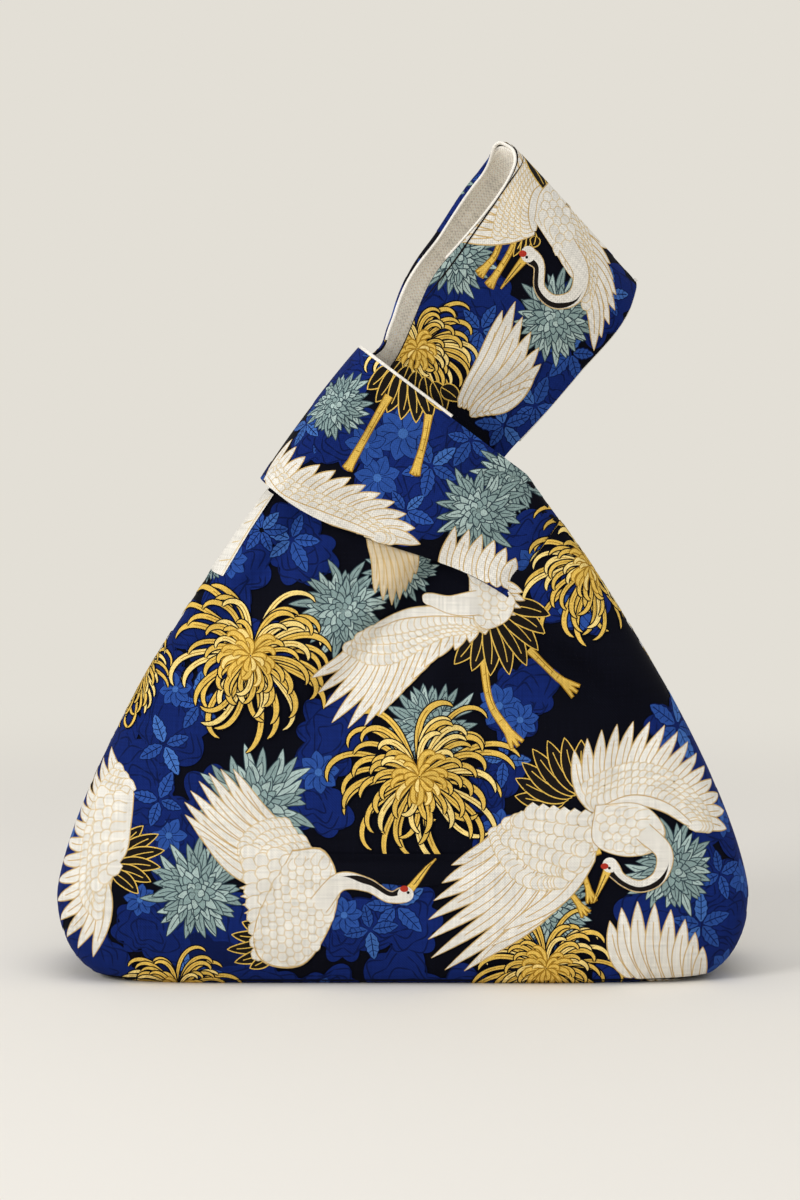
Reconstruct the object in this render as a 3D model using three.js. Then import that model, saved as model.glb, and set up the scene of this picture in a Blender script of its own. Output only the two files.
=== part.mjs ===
// Knot bag: a lined cloth bag with a boxed base and two uneven handles. The long handle
// passes through the short one, which closes the mouth as a band round the neck.
// Millimetres, +Z up, front towards -Y, origin on the floor under the middle of the base.
import * as THREE from 'three';
import { mergeVertices } from 'three/addons/utils/BufferGeometryUtils.js';

// Bag body
const BODY_WIDTH = 300;
const BODY_DEPTH = 90;
const SHOULDER_WIDTH = 116;
const SHOULDER_HEIGHT = 211;
const NECK_DEPTH = 26;
const CORNER_RUN = 25;
const CORNER_RISE = 36;
const EDGE_RUN = 9;
const EDGE_RISE = 25;
const BASE_SEAM_INSET = 38;
const TAPER_POWER = 1.4;
const BASE_SQUARENESS = 6;
const NECK_SQUARENESS = 3;
const MOUTH_DIP = 20;
const MOUTH_DIP_SPAN = 46;
const MOUTH_DIP_PLACE = 86;

// Short handle, worn as the band
const BAND_TILT = THREE.MathUtils.degToRad(37);
const BAND_WIDTH = 71;
const BAND_DEPTH = 46;
const BAND_FOLD_RUN = 14;
const BAND_FOLD_OVERHANG = 6.5;
const BAND_EDGE_RISE = 24;
const BAND_TRAVEL = 10;
const JOIN_HEIGHT = 196;
const JOIN_RUN = 48;

// Long handle
const HANDLE_WIDTH = 80;
const HANDLE_NECK_WIDTH = 66;
const HANDLE_PLACE = 40;
const HANDLE_LENGTH = 92;
const HANDLE_SPREAD = 46;
const HANDLE_TOP_SLANT = 0.15;
const HANDLE_YAW = THREE.MathUtils.degToRad(20);
const HANDLE_SWING = THREE.MathUtils.degToRad(30);

// Cloth layers and clearances
const OUTER_CLOTH = 1.2;
const INTERLINING_CLOTH = 0.8;
const LINING_CLOTH = 0.8;
const LAYER_GAP = 0.3;
const SEAM_GAP = 0.3;
const EDGE_CLEARANCE = 0.9;
const PIPING_DIAMETER = 2;

const LINING_START = OUTER_CLOTH + LAYER_GAP;
const STRAP_CLOTH = LINING_START + LINING_CLOTH;
const BODY_LINING_START = LINING_START + INTERLINING_CLOTH + LAYER_GAP;

const CLOTH = { color: 0x14306f, roughness: 0.82, metalness: 0 };
const INTERLINING = { color: 0xe4e0d8, roughness: 0.95, metalness: 0 };
const LINEN = { color: 0xd8cdbd, roughness: 0.9, metalness: 0 };
const PIPING = { color: 0xeeebe4, roughness: 0.75, metalness: 0 };

const clamp01 = (value) => THREE.MathUtils.clamp(value, 0, 1);
const ease = (value, from, to) => THREE.MathUtils.smoothstep(value, from, to);
const mix = THREE.MathUtils.lerp;

// Half a width that leaves the floor along a rounded corner, then tapers to the neck.
function taperedHalf(z, widest, neck, run, rise, neckHeight) {
  if (z < rise) {
    const fall = 1 - z / rise;
    return widest - run * (1 - Math.sqrt(1 - fall * fall));
  }
  const climb = (z - rise) / (neckHeight - rise);
  return widest - (widest - neck) * climb ** TAPER_POWER;
}

const halfWidth = (z) =>
  taperedHalf(z, BODY_WIDTH / 2, SHOULDER_WIDTH / 2, CORNER_RUN, CORNER_RISE, SHOULDER_HEIGHT);
const halfDepth = (z) =>
  taperedHalf(z, BODY_DEPTH / 2, NECK_DEPTH / 2, EDGE_RUN, EDGE_RISE, SHOULDER_HEIGHT);
const squareness = (z) => mix(BASE_SQUARENESS, NECK_SQUARENESS, clamp01(z / (SHOULDER_HEIGHT * 0.7)));

// How far the body's skin stands in front of the middle plane at a point of the front view.
function skinDepth(x, z) {
  const power = squareness(z);
  const share = Math.min(Math.abs(x) / halfWidth(z), 1);
  return halfDepth(z) * (1 - share ** power) ** (1 / power);
}

// The band's own frame: "run" goes down to the right across the front, "rise" along the handle.
const COS_TILT = Math.cos(BAND_TILT);
const SIN_TILT = Math.sin(BAND_TILT);
const runOf = (x, z) => COS_TILT * x - SIN_TILT * z;
const riseOf = (x, z) => SIN_TILT * x + COS_TILT * z;
const xOf = (run, rise) => COS_TILT * run + SIN_TILT * rise;
const zOf = (run, rise) => -SIN_TILT * run + COS_TILT * rise;

const NECK_LEFT = runOf(-SHOULDER_WIDTH / 2, SHOULDER_HEIGHT);
const NECK_RISE = riseOf(-SHOULDER_WIDTH / 2, SHOULDER_HEIGHT);
const BAND_FOLD = NECK_LEFT - BAND_FOLD_OVERHANG;
const BAND_FOLD_START = BAND_FOLD + BAND_FOLD_RUN;
const BAND_END = runOf(halfWidth(JOIN_HEIGHT), JOIN_HEIGHT);
const BAND_TOP = NECK_RISE + EDGE_CLEARANCE + BAND_WIDTH;
const HINGE_RISE = BAND_TOP + PIPING_DIAMETER + BAND_TRAVEL + 2 * EDGE_CLEARANCE;
const HANDLE_MIDDLE = NECK_LEFT + HANDLE_PLACE;

// Lower edge of the band, and the right side of the body seen in the band's frame.
const bandLow = (run) =>
  NECK_RISE + EDGE_CLEARANCE + BAND_EDGE_RISE * ease(run, BAND_FOLD_START, BAND_END);
function sideRise(run) {
  let low = NECK_RISE;
  let high = NECK_RISE + 2 * BAND_WIDTH;
  for (let step = 0; step < 40; step += 1) {
    const middle = (low + high) / 2;
    if (xOf(run, middle) < halfWidth(zOf(run, middle))) low = middle;
    else high = middle;
  }
  return low;
}
const bandHigh = (run) => Math.min(BAND_TOP, sideRise(run) - EDGE_CLEARANCE);

// Top edge of the body panels: under the band, dipping at the mouth, then up its end.
function rimRise(run) {
  const dip = Math.max(0, 1 - (2 * (run - NECK_LEFT - MOUTH_DIP_PLACE) / MOUTH_DIP_SPAN) ** 2);
  return bandLow(run) - EDGE_CLEARANCE - MOUTH_DIP * dip;
}
const RIM_STEPS = 60;
const rim = [];
for (let step = 0; step <= RIM_STEPS; step += 1) {
  const run = mix(NECK_LEFT, BAND_END + EDGE_CLEARANCE, step / RIM_STEPS);
  rim.push([xOf(run, rimRise(run)), zOf(run, rimRise(run))]);
}
rim.push([halfWidth(JOIN_HEIGHT), JOIN_HEIGHT]);
const rimShares = rim.map(([x, z]) => x / halfWidth(z));
function rimHeight(share) {
  if (share <= rimShares[0]) return rim[0][1];
  for (let step = 1; step < rim.length; step += 1) {
    if (share <= rimShares[step]) {
      const part = (share - rimShares[step - 1]) / (rimShares[step] - rimShares[step - 1]);
      return mix(rim[step - 1][1], rim[step][1], part);
    }
  }
  return JOIN_HEIGHT;
}

// At a seam's end both sides of a corner can lie in one line: it takes its neighbour's direction.
const FLAT_CORNER = 1e-6;

// A sheet of cloth: skin(column, row) is its outer face, and the sheet lies between two
// depths under it. Seam edges keep their depth direction square to the seam.
function sheet(skin, columns, rows, from, to, seams, facing) {
  const at = (column, row) => skin(column / columns, row / rows);
  const positions = [];
  const index = [];
  const sideA = new THREE.Vector3();
  const sideB = new THREE.Vector3();
  const normalAt = (column, row) => {
    const left = Math.max(column - 1, 0);
    const right = Math.min(column + 1, columns);
    const low = Math.max(row - 1, 0);
    const high = Math.min(row + 1, rows);
    sideA.subVectors(at(right, row), at(left, row));
    sideB.subVectors(at(column, high), at(column, low));
    const normal = new THREE.Vector3().crossVectors(sideA, sideB).multiplyScalar(facing);
    if (normal.lengthSq() < FLAT_CORNER) return normalAt(column === 0 ? 1 : columns - 1, row);
    const onSeam = (seams.left && column === 0) || (seams.right && column === columns)
      || (seams.low && row === 0) || (seams.high && row === rows);
    if (onSeam) normal.y = 0;
    return normal.normalize();
  };
  const layer = (depth) => {
    for (let row = 0; row <= rows; row += 1) {
      for (let column = 0; column <= columns; column += 1) {
        const point = at(column, row).addScaledVector(normalAt(column, row), -depth);
        positions.push(point.x, point.y, point.z);
      }
    }
  };
  layer(from);
  layer(to);
  const wide = columns + 1;
  const count = wide * (rows + 1);
  const quad = (a, b, c, d) => {
    if (facing > 0) index.push(a, b, c, a, c, d);
    else index.push(a, c, b, a, d, c);
  };
  for (let row = 0; row < rows; row += 1) {
    for (let column = 0; column < columns; column += 1) {
      const corner = row * wide + column;
      quad(corner, corner + 1, corner + wide + 1, corner + wide);
      const under = corner + count;
      quad(under, under + wide, under + wide + 1, under + 1);
    }
  }
  for (let column = 0; column < columns; column += 1) {
    const top = rows * wide + column;
    quad(column + count, column + count + 1, column + 1, column);
    quad(top, top + 1, top + count + 1, top + count);
  }
  for (let row = 0; row < rows; row += 1) {
    const left = row * wide;
    const right = left + columns;
    quad(left + wide, left + wide + count, left + count, left);
    quad(right, right + count, right + wide + count, right + wide);
  }
  const geometry = new THREE.BufferGeometry();
  geometry.setAttribute('position', new THREE.Float32BufferAttribute(positions, 3));
  geometry.setIndex(index);
  return mergeVertices(geometry, 1e-4);
}

function addPiece(parent, name, geometry, finish) {
  const mesh = new THREE.Mesh(geometry, new THREE.MeshStandardMaterial(finish));
  mesh.name = name;
  parent.add(mesh);
}

// Body panels. Each runs from the seam under the base, round the bottom edge and up to the rim.
const PANEL_COLUMNS = 22;
const BASE_ROWS = 2;
const CORNER_ROWS = 4;
const WALL_ROWS = 7;
const PANEL_ROWS = BASE_ROWS + CORNER_ROWS + WALL_ROWS;
const columnShare = (across, power) => {
  const turn = Math.cos(Math.PI * across);
  return -Math.sign(turn) * Math.abs(turn) ** (2 / power);
};
// The column nearest the lower corner of the band's end is drawn over to that corner.
const cornerShare = rimShares[RIM_STEPS];
let cornerColumn = 0;
for (let column = 1; column <= PANEL_COLUMNS; column += 1) {
  const miss = (which) => Math.abs(columnShare(which / PANEL_COLUMNS, NECK_SQUARENESS) - cornerShare);
  if (miss(column) < miss(cornerColumn)) cornerColumn = column;
}
const rimShare = (across) =>
  Math.round(across * PANEL_COLUMNS) === cornerColumn ? cornerShare : columnShare(across, NECK_SQUARENESS);
function panelSkin(side) {
  return (across, along) => {
    const step = along * PANEL_ROWS;
    let pull = 0;
    let z = 0;
    let reach = 1;
    if (step <= BASE_ROWS) {
      reach = step / BASE_ROWS;
    } else if (step <= BASE_ROWS + CORNER_ROWS) {
      const part = (step - BASE_ROWS) / CORNER_ROWS;
      z = CORNER_RISE * (1 - Math.cos(part * Math.PI / 2));
    } else {
      const part = (step - BASE_ROWS - CORNER_ROWS) / WALL_ROWS;
      z = mix(CORNER_RISE, rimHeight(rimShare(across)), part);
      pull = part * (rimShare(across) - columnShare(across, NECK_SQUARENESS));
    }
    const power = squareness(z);
    const half = halfWidth(z) - BASE_SEAM_INSET * (1 - reach);
    const share = THREE.MathUtils.clamp(columnShare(across, power) + pull, -1, 1);
    const depth = reach * halfDepth(z) * (1 - Math.abs(share) ** power) ** (1 / power);
    return new THREE.Vector3(half * share, side * (depth + SEAM_GAP / 2), z);
  };
}

const bag = new THREE.Group();
const panelSeams = { left: true, right: true, low: true };
for (const [word, side] of [['front', -1], ['back', 1]]) {
  const panel = (from, thickness) =>
    sheet(panelSkin(side), PANEL_COLUMNS, PANEL_ROWS, from, from + thickness, panelSeams, -side);
  addPiece(bag, `outer_${word}`, panel(0, OUTER_CLOTH), CLOTH);
  addPiece(bag, `interlining_${word}`, panel(LINING_START, INTERLINING_CLOTH), INTERLINING);
  addPiece(bag, `lining_${word}`, panel(BODY_LINING_START, LINING_CLOTH), LINEN);
}

// The knot's frame: x is the run, z the rise.
const knot = new THREE.Group();
knot.rotation.y = BAND_TILT;
bag.add(knot);

// Short handle: from the right shoulder across the front, round the fold on the left, and back.
const BAND_COLUMNS = 16;
const BAND_FOLD_COLUMNS = 6;
const BAND_ROWS = 5;
function bandPlace(across) {
  const step = across * BAND_COLUMNS;
  if (step <= BAND_FOLD_COLUMNS) {
    const turn = step / BAND_FOLD_COLUMNS * Math.PI / 2;
    return [BAND_FOLD_START - BAND_FOLD_RUN * Math.cos(turn), BAND_DEPTH / 2 * Math.sin(turn)];
  }
  const part = (step - BAND_FOLD_COLUMNS) / (BAND_COLUMNS - BAND_FOLD_COLUMNS);
  return [mix(BAND_FOLD_START, BAND_END, part), BAND_DEPTH / 2];
}
function bandSkin(side) {
  return (across, along) => {
    const [run, depth] = bandPlace(across);
    const rise = mix(bandLow(run), bandHigh(run), along);
    const shoulder = skinDepth(xOf(run, rise), zOf(run, rise));
    const joined = mix(depth, shoulder, ease(run, BAND_END - JOIN_RUN, BAND_END));
    return new THREE.Vector3(run, side * (joined + SEAM_GAP / 2), rise);
  };
}
for (const [word, side] of [['front', -1], ['back', 1]]) {
  const strap = (from, thickness) =>
    sheet(bandSkin(side), BAND_COLUMNS, BAND_ROWS, from, from + thickness, { left: true }, -side);
  addPiece(knot, `short_handle_${word}`, strap(0, OUTER_CLOTH), CLOTH);
  addPiece(knot, `short_handle_lining_${word}`, strap(LINING_START, LINING_CLOTH), LINEN);
}

// Piping: a round cord along an edge, held off it by the clearance.
const PIPING_SIDES = 8;
function piping(points, steps) {
  const section = new THREE.Shape();
  for (let side = 0; side < PIPING_SIDES; side += 1) {
    const turn = side / PIPING_SIDES * 2 * Math.PI;
    const place = [PIPING_DIAMETER / 2 * Math.cos(turn), PIPING_DIAMETER / 2 * Math.sin(turn)];
    if (side === 0) section.moveTo(...place);
    else section.lineTo(...place);
  }
  const extrudePath = new THREE.CatmullRomCurve3(points);
  return new THREE.ExtrudeGeometry(section, { steps, extrudePath });
}
const PIPING_OFFSET = PIPING_DIAMETER / 2 + LAYER_GAP;
const BAND_PIPING_END = 0.72;
const BAND_PIPING_POINTS = 14;
const bandEdge = [];
for (let step = -BAND_PIPING_POINTS; step <= BAND_PIPING_POINTS; step += 1) {
  const [run, depth] = bandPlace(Math.abs(step) / BAND_PIPING_POINTS * BAND_PIPING_END);
  const inset = STRAP_CLOTH / 2;
  const inward = run < BAND_FOLD_START ? (BAND_FOLD_START - run) / BAND_FOLD_RUN : 0;
  const middle = Math.sign(step) * depth * (1 - inset / (BAND_DEPTH / 2));
  bandEdge.push(new THREE.Vector3(run + inset * inward, middle, BAND_TOP + PIPING_OFFSET));
}
addPiece(knot, 'short_handle_piping', piping(bandEdge, 32), PIPING);

// Root of the long handle: the left shoulder gathered and drawn up through the band.
const ROOT_COLUMNS = 8;
const ROOT_ROWS = 7;
const PINCH = STRAP_CLOTH + SEAM_GAP;
const ROOT_ROOM = BAND_DEPTH / 2 - STRAP_CLOTH - EDGE_CLEARANCE;
const SWING_SLOPE = Math.tan(HANDLE_SWING);
const hingeGap = (depth) => LAYER_GAP / 2 + depth * SWING_SLOPE / 2;
function rootSkin(side, depthUnder) {
  return (across, along) => {
    const offset = (across - 0.5) * HANDLE_NECK_WIDTH;
    const low = bandLow(HANDLE_MIDDLE + offset);
    const high = HINGE_RISE - hingeGap(PINCH - depthUnder);
    const rise = mix(low, high, along);
    const twist = HANDLE_YAW * ease(along, 0.2, 1);
    const run = HANDLE_MIDDLE + offset * Math.cos(twist);
    const shoulder = skinDepth(xOf(HANDLE_MIDDLE + offset, low), zOf(HANDLE_MIDDLE + offset, low));
    const depth = mix(THREE.MathUtils.clamp(shoulder, PINCH, ROOT_ROOM), PINCH, ease(along, 0, 0.9));
    return new THREE.Vector3(run, side * depth + offset * Math.sin(twist), rise);
  };
}
for (const [word, side] of [['front', -1], ['back', 1]]) {
  const root = (from, thickness) =>
    sheet(rootSkin(side, from), ROOT_COLUMNS, ROOT_ROWS, from, from + thickness, {}, -side);
  addPiece(knot, `handle_root_${word}`, root(0, OUTER_CLOTH), CLOTH);
  addPiece(knot, `handle_root_lining_${word}`, root(LINING_START, LINING_CLOTH), LINEN);
}

// Long handle: two straps that leave the hinge together, spread, and meet in a seam at the top.
const handle = new THREE.Group();
handle.position.set(HANDLE_MIDDLE, 0, HINGE_RISE);
handle.rotation.z = HANDLE_YAW;
knot.add(handle);
const HANDLE_COLUMNS = 6;
const HANDLE_ROWS = 14;
const strapCurve = new THREE.CubicBezierCurve(
  new THREE.Vector2(0, PINCH),
  new THREE.Vector2(HANDLE_LENGTH * 0.3, PINCH),
  new THREE.Vector2(HANDLE_LENGTH, HANDLE_SPREAD),
  new THREE.Vector2(HANDLE_LENGTH, 0),
);
function handleSkin(side, depthUnder) {
  return (across, along) => {
    const { x: climb, y: spread } = strapCurve.getPoint(along);
    const widen = ease(along, 0, 0.4);
    const offset = (across - 0.5) * mix(HANDLE_NECK_WIDTH, HANDLE_WIDTH, widen);
    const slant = 1 - HANDLE_TOP_SLANT * offset / HANDLE_LENGTH;
    const start = hingeGap(PINCH - depthUnder) * (1 - along);
    return new THREE.Vector3(offset, side * (spread + SEAM_GAP / 2 * along), start + climb * slant);
  };
}
for (const [word, side] of [['front', -1], ['back', 1]]) {
  const strap = (from, thickness) =>
    sheet(handleSkin(side, from), HANDLE_COLUMNS, HANDLE_ROWS, from, from + thickness, { high: true }, -side);
  addPiece(handle, `long_handle_${word}`, strap(0, OUTER_CLOTH), CLOTH);
  addPiece(handle, `long_handle_lining_${word}`, strap(LINING_START, LINING_CLOTH), LINEN);
}

// Rolled white edges of the long handle, from the hinge over the top and down again.
const EDGE_START = 0.16;
const EDGE_POINTS = 12;
for (const [word, edge] of [['left', 0], ['right', 1]]) {
  const points = [];
  const outward = (edge - 0.5) * 2 * PIPING_OFFSET;
  for (let step = -EDGE_POINTS; step <= EDGE_POINTS; step += 1) {
    const along = 1 - (1 - EDGE_START) * Math.abs(step) / EDGE_POINTS;
    const side = step < 0 ? -1 : 1;
    const point = handleSkin(side, OUTER_CLOTH)(edge, along);
    const shrink = STRAP_CLOTH / 2;
    point.y -= side * Math.min(shrink, Math.abs(point.y) * (step === 0 ? 1 : 0.9));
    point.z -= shrink * ease(along, 0.8, 1);
    point.x += outward;
    points.push(point);
  }
  addPiece(handle, `long_handle_edge_${word}`, piping(points, 36), PIPING);
}

export default bag;
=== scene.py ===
"""Knot bag: lined printed-cotton bag whose long handle is drawn through the short one.

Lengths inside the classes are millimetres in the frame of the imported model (+Z up, front
towards -Y); meshes are written in metres.
"""
from __future__ import annotations

import logging
import math
from dataclasses import dataclass, field
from enum import Enum
from typing import Callable, Sequence

import bpy
import numpy as np
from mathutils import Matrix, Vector
from mathutils.geometry import delaunay_2d_cdt


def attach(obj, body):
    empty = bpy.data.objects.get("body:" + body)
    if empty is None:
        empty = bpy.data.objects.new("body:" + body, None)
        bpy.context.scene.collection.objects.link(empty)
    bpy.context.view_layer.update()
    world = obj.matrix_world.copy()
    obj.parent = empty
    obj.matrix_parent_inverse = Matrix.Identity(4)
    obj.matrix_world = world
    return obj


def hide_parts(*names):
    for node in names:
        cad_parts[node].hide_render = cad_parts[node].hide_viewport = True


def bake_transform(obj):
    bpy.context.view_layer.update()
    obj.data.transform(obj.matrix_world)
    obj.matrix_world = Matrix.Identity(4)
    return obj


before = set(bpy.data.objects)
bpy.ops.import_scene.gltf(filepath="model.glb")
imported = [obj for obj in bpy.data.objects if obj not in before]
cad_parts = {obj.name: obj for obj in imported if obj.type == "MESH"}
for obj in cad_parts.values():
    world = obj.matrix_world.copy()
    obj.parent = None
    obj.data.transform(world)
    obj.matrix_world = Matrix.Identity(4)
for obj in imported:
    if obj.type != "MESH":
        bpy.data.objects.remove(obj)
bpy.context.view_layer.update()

LOG = logging.getLogger("knot_bag")
MM = 0.001
TINY = 1e-9
Array = np.ndarray
Piece = bpy.types.Object
Material = bpy.types.Material
Socket = bpy.types.NodeSocket
Tree = bpy.types.NodeTree


class Side(Enum):
    """Which face of the bag a panel is on; the value is the sign of its y."""

    FRONT = -1
    BACK = 1


def smooth(value: Array | float, start: float, end: float) -> Array:
    """Ease from 0 at start to 1 at end."""
    share = np.clip((np.asarray(value, float) - start) / (end - start), 0.0, 1.0)
    return share * share * (3.0 - 2.0 * share)


def blend_between(low: Array | float, high: Array | float, share: Array | float) -> Array:
    """Mix low and high by share."""
    return low + (np.asarray(high) - low) * share


def unit(ways: Array) -> Array:
    """Directions cut to length 1."""
    return ways / np.maximum(np.linalg.norm(ways, axis=-1, keepdims=True), TINY)


def left_of(ways: Array) -> Array:
    """Flat directions turned a quarter to the left."""
    return np.stack([-ways[..., 1], ways[..., 0]], axis=-1)


def circle(turn: Array | float) -> Array:
    """Points of the unit circle at turns."""
    return np.stack([np.cos(turn), np.sin(turn)], axis=-1)


def arc_of(path: Array) -> Array:
    """Length along a path at each of its points."""
    return np.concatenate([[0.0], np.cumsum(np.linalg.norm(np.diff(path, axis=0), axis=1))])


def spline(knots: Array, per: int) -> Array:
    """Smooth curve through knots.

    Args:
        knots: points to pass through, as rows.
        per: steps from one knot to the next.

    Returns:
        Points of the curve, as rows.
    """
    padded = np.vstack([2 * knots[0] - knots[1], knots, 2 * knots[-1] - knots[-2]])
    share = np.linspace(0.0, 1.0, per, endpoint=False)[:, None]
    parts = []
    for before, start, end, after in zip(padded, padded[1:], padded[2:], padded[3:]):
        parts.append(0.5 * (2 * start + (end - before) * share
                            + (2 * before - 5 * start + 4 * end - after) * share ** 2
                            + (3 * start - before - 3 * end + after) * share ** 3))
    return np.vstack(parts + [knots[-1:]])


@dataclass(frozen=True)
class BagShape:
    """The bag's driving sizes, the same as in the part's source."""

    width: float = 300.0
    depth: float = 90.0
    shoulder_width: float = 116.0
    shoulder_height: float = 211.0
    neck_depth: float = 26.0
    corner_run: float = 25.0
    corner_rise: float = 36.0
    edge_run: float = 9.0
    edge_rise: float = 25.0
    base_seam_inset: float = 38.0
    taper_power: float = 1.4
    base_squareness: float = 6.0
    neck_squareness: float = 3.0
    square_height: float = 0.7
    tilt: float = math.radians(37.0)
    band_width: float = 71.0
    band_depth: float = 46.0
    band_fold_run: float = 14.0
    band_overhang: float = 6.5
    band_edge_rise: float = 24.0
    edge_clearance: float = 0.9
    join_height: float = 196.0
    join_run: float = 48.0
    handle_width: float = 80.0
    handle_neck_width: float = 66.0
    handle_place: float = 40.0
    handle_length: float = 92.0
    handle_slant: float = 0.15
    handle_yaw: float = math.radians(20.0)
    hinge_above_band: float = 13.8
    side_gap: float = 0.2
    halvings: int = 36

    def tapered(self, z: Array, widest: float, neck: float, run: float, rise: float) -> Array:
        """Half a width that leaves the floor on a rounded corner and tapers to the neck.

        Args:
            z: heights.
            widest: half width above the corner.
            neck: half width at the shoulder.
            run: how far the corner draws in at the floor.
            rise: height of the corner.

        Returns:
            The half width at each height.
        """
        z = np.asarray(z, float)
        fall = np.clip(1.0 - z / rise, 0.0, 1.0)
        corner = widest - run * (1.0 - np.sqrt(1.0 - fall * fall))
        climb = np.clip((z - rise) / (self.shoulder_height - rise), 0.0, None)
        return np.where(z < rise, corner, widest - (widest - neck) * climb ** self.taper_power)

    def half_width(self, z: Array) -> Array:
        """Half of the body's width at height z."""
        return self.tapered(z, self.width / 2, self.shoulder_width / 2, self.corner_run, self.corner_rise)

    def half_depth(self, z: Array) -> Array:
        """Half of the body's depth at height z."""
        return self.tapered(z, self.depth / 2, self.neck_depth / 2, self.edge_run, self.edge_rise)

    def squareness(self, z: Array) -> Array:
        """Power of the rounded section at height z."""
        share = np.clip(np.asarray(z, float) / (self.shoulder_height * self.square_height), 0.0, 1.0)
        return blend_between(self.base_squareness, self.neck_squareness, share)

    def skin_depth(self, x: Array, z: Array) -> Array:
        """How far the body's skin stands in front of its middle plane.

        Args:
            x: places across the front.
            z: heights.

        Returns:
            The depth at each place.
        """
        power = self.squareness(z)
        share = np.clip(np.abs(x) / self.half_width(z), 0.0, 1.0)
        return self.half_depth(z) * (1.0 - share ** power) ** (1.0 / power)

    def to_band(self, x: Array | float, z: Array | float) -> tuple[Array, Array]:
        """Run along the band and rise across it of front-view points."""
        cos, sin = math.cos(self.tilt), math.sin(self.tilt)
        return cos * x - sin * z, sin * x + cos * z

    def from_band(self, run: Array | float, rise: Array | float) -> tuple[Array, Array]:
        """Front-view x and z of points in the band's frame."""
        cos, sin = math.cos(self.tilt), math.sin(self.tilt)
        return cos * run + sin * rise, cos * rise - sin * run

    @property
    def neck_left(self) -> float:
        """Run of the left shoulder."""
        return float(self.to_band(-self.shoulder_width / 2, self.shoulder_height)[0])

    @property
    def neck_rise(self) -> float:
        """Rise of the left shoulder."""
        return float(self.to_band(-self.shoulder_width / 2, self.shoulder_height)[1])

    @property
    def band_fold_start(self) -> float:
        """Run at which the band begins to turn round its fold."""
        return self.neck_left - self.band_overhang + self.band_fold_run

    @property
    def band_end(self) -> float:
        """Run at which the band joins the right shoulder."""
        return float(self.to_band(self.half_width(self.join_height), self.join_height)[0])

    @property
    def band_top(self) -> float:
        """Rise of the band's upper edge."""
        return self.neck_rise + self.edge_clearance + self.band_width

    @property
    def hinge_rise(self) -> float:
        """Rise of the line about which the long handle flops."""
        return self.band_top + self.hinge_above_band

    @property
    def handle_middle(self) -> float:
        """Run of the long handle's middle line."""
        return self.neck_left + self.handle_place

    def band_low(self, run: Array) -> Array:
        """Rise of the band's lower edge."""
        climb = smooth(run, self.band_fold_start, self.band_end)
        return self.neck_rise + self.edge_clearance + self.band_edge_rise * climb

    def side_rise(self, run: Array) -> Array:
        """Rise at which a line along the handle meets the right side of the body.

        Args:
            run: place of each line along the band.

        Returns:
            The rise on each line, found by halving.
        """
        run = np.asarray(run, float)
        low = np.full_like(run, self.neck_rise)
        high = np.full_like(run, self.neck_rise + 2 * self.band_width)
        for _ in range(self.halvings):
            middle = (low + high) / 2
            x, z = self.from_band(run, middle)
            inside = x < self.half_width(z)
            low = np.where(inside, middle, low)
            high = np.where(inside, high, middle)
        return low

    def band_high(self, run: Array) -> Array:
        """Rise of the band's upper edge, or of the shoulder where that is lower."""
        return np.minimum(self.band_top, self.side_rise(run) - self.side_gap)


SHAPE = BagShape()


@dataclass(frozen=True)
class Crease:
    """A soft ridge or valley in cloth, along a line with faded ends."""

    start: tuple[float, float]
    end: tuple[float, float]
    width: float
    height: float
    fade_in: tuple[float, float] = (-0.25, 0.2)
    fade_out: tuple[float, float] = (0.55, 1.15)

    def lift(self, u: Array, v: Array) -> Array:
        """Height of the crease at cloth points.

        Args:
            u: places across the cloth.
            v: places up the cloth.

        Returns:
            The height that the crease adds at each point.
        """
        ax, ay = self.start
        dx, dy = self.end[0] - ax, self.end[1] - ay
        length = math.hypot(dx, dy)
        along = ((u - ax) * dx + (v - ay) * dy) / length ** 2
        across = ((u - ax) * -dy + (v - ay) * dx) / length
        spread = self.width * (0.7 + 0.6 * np.clip(along, 0.0, 1.0))
        fade = smooth(along, *self.fade_in) * (1 - smooth(along, *self.fade_out))
        return self.height * fade * np.exp(-((across / spread) ** 2))


class ClothSurface:
    """A curved face of cloth: cloth places (u, v) in millimetres to points in the frame."""

    probe: float = 0.8
    seed: int = 0
    waves: tuple[tuple[float, float], ...] = ()
    creases: tuple[Crease, ...] = ()

    def slack(self, u: Array, v: Array) -> Array:
        """Height of the cloth's small irregular waves and its creases.

        Args:
            u: places across the cloth.
            v: places up the cloth.

        Returns:
            The height at each place.
        """
        rng = np.random.default_rng(self.seed)
        total = np.zeros(np.shape(u))
        for length, height in self.waves:
            for _ in range(3):
                turn, phase, bend = rng.uniform(0, math.tau, 3)
                across = u * math.cos(turn) + v * math.sin(turn)
                along = v * math.cos(turn) - u * math.sin(turn)
                swell = np.sin(along / (length * 0.8) + bend)
                total = total + height / 3 * np.sin(math.tau * across / length + phase + 1.3 * swell)
        for crease in self.creases:
            total = total + crease.lift(u, v)
        return total

    def place(self, u: Array, v: Array) -> Array:
        """Points of the face, one row of x, y, z for each cloth place."""
        raise NotImplementedError

    def points(self, u: Array, v: Array, height: Array | float = 0.0) -> tuple[Array, Array]:
        """Points at a height over the face, and the face's outward directions.

        Args:
            u: places across the cloth.
            v: places up the cloth.
            height: how far over the face.

        Returns:
            Points and unit normals, as rows.
        """
        u, v = np.asarray(u, float), np.asarray(v, float)
        step = self.probe
        across = self.place(u + step, v) - self.place(u - step, v)
        upward = self.place(u, v + step) - self.place(u, v - step)
        normal = unit(np.cross(across, upward))
        lift = np.broadcast_to(np.asarray(height, float), u.shape)
        return self.place(u, v) + normal * lift[:, None], normal


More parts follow.
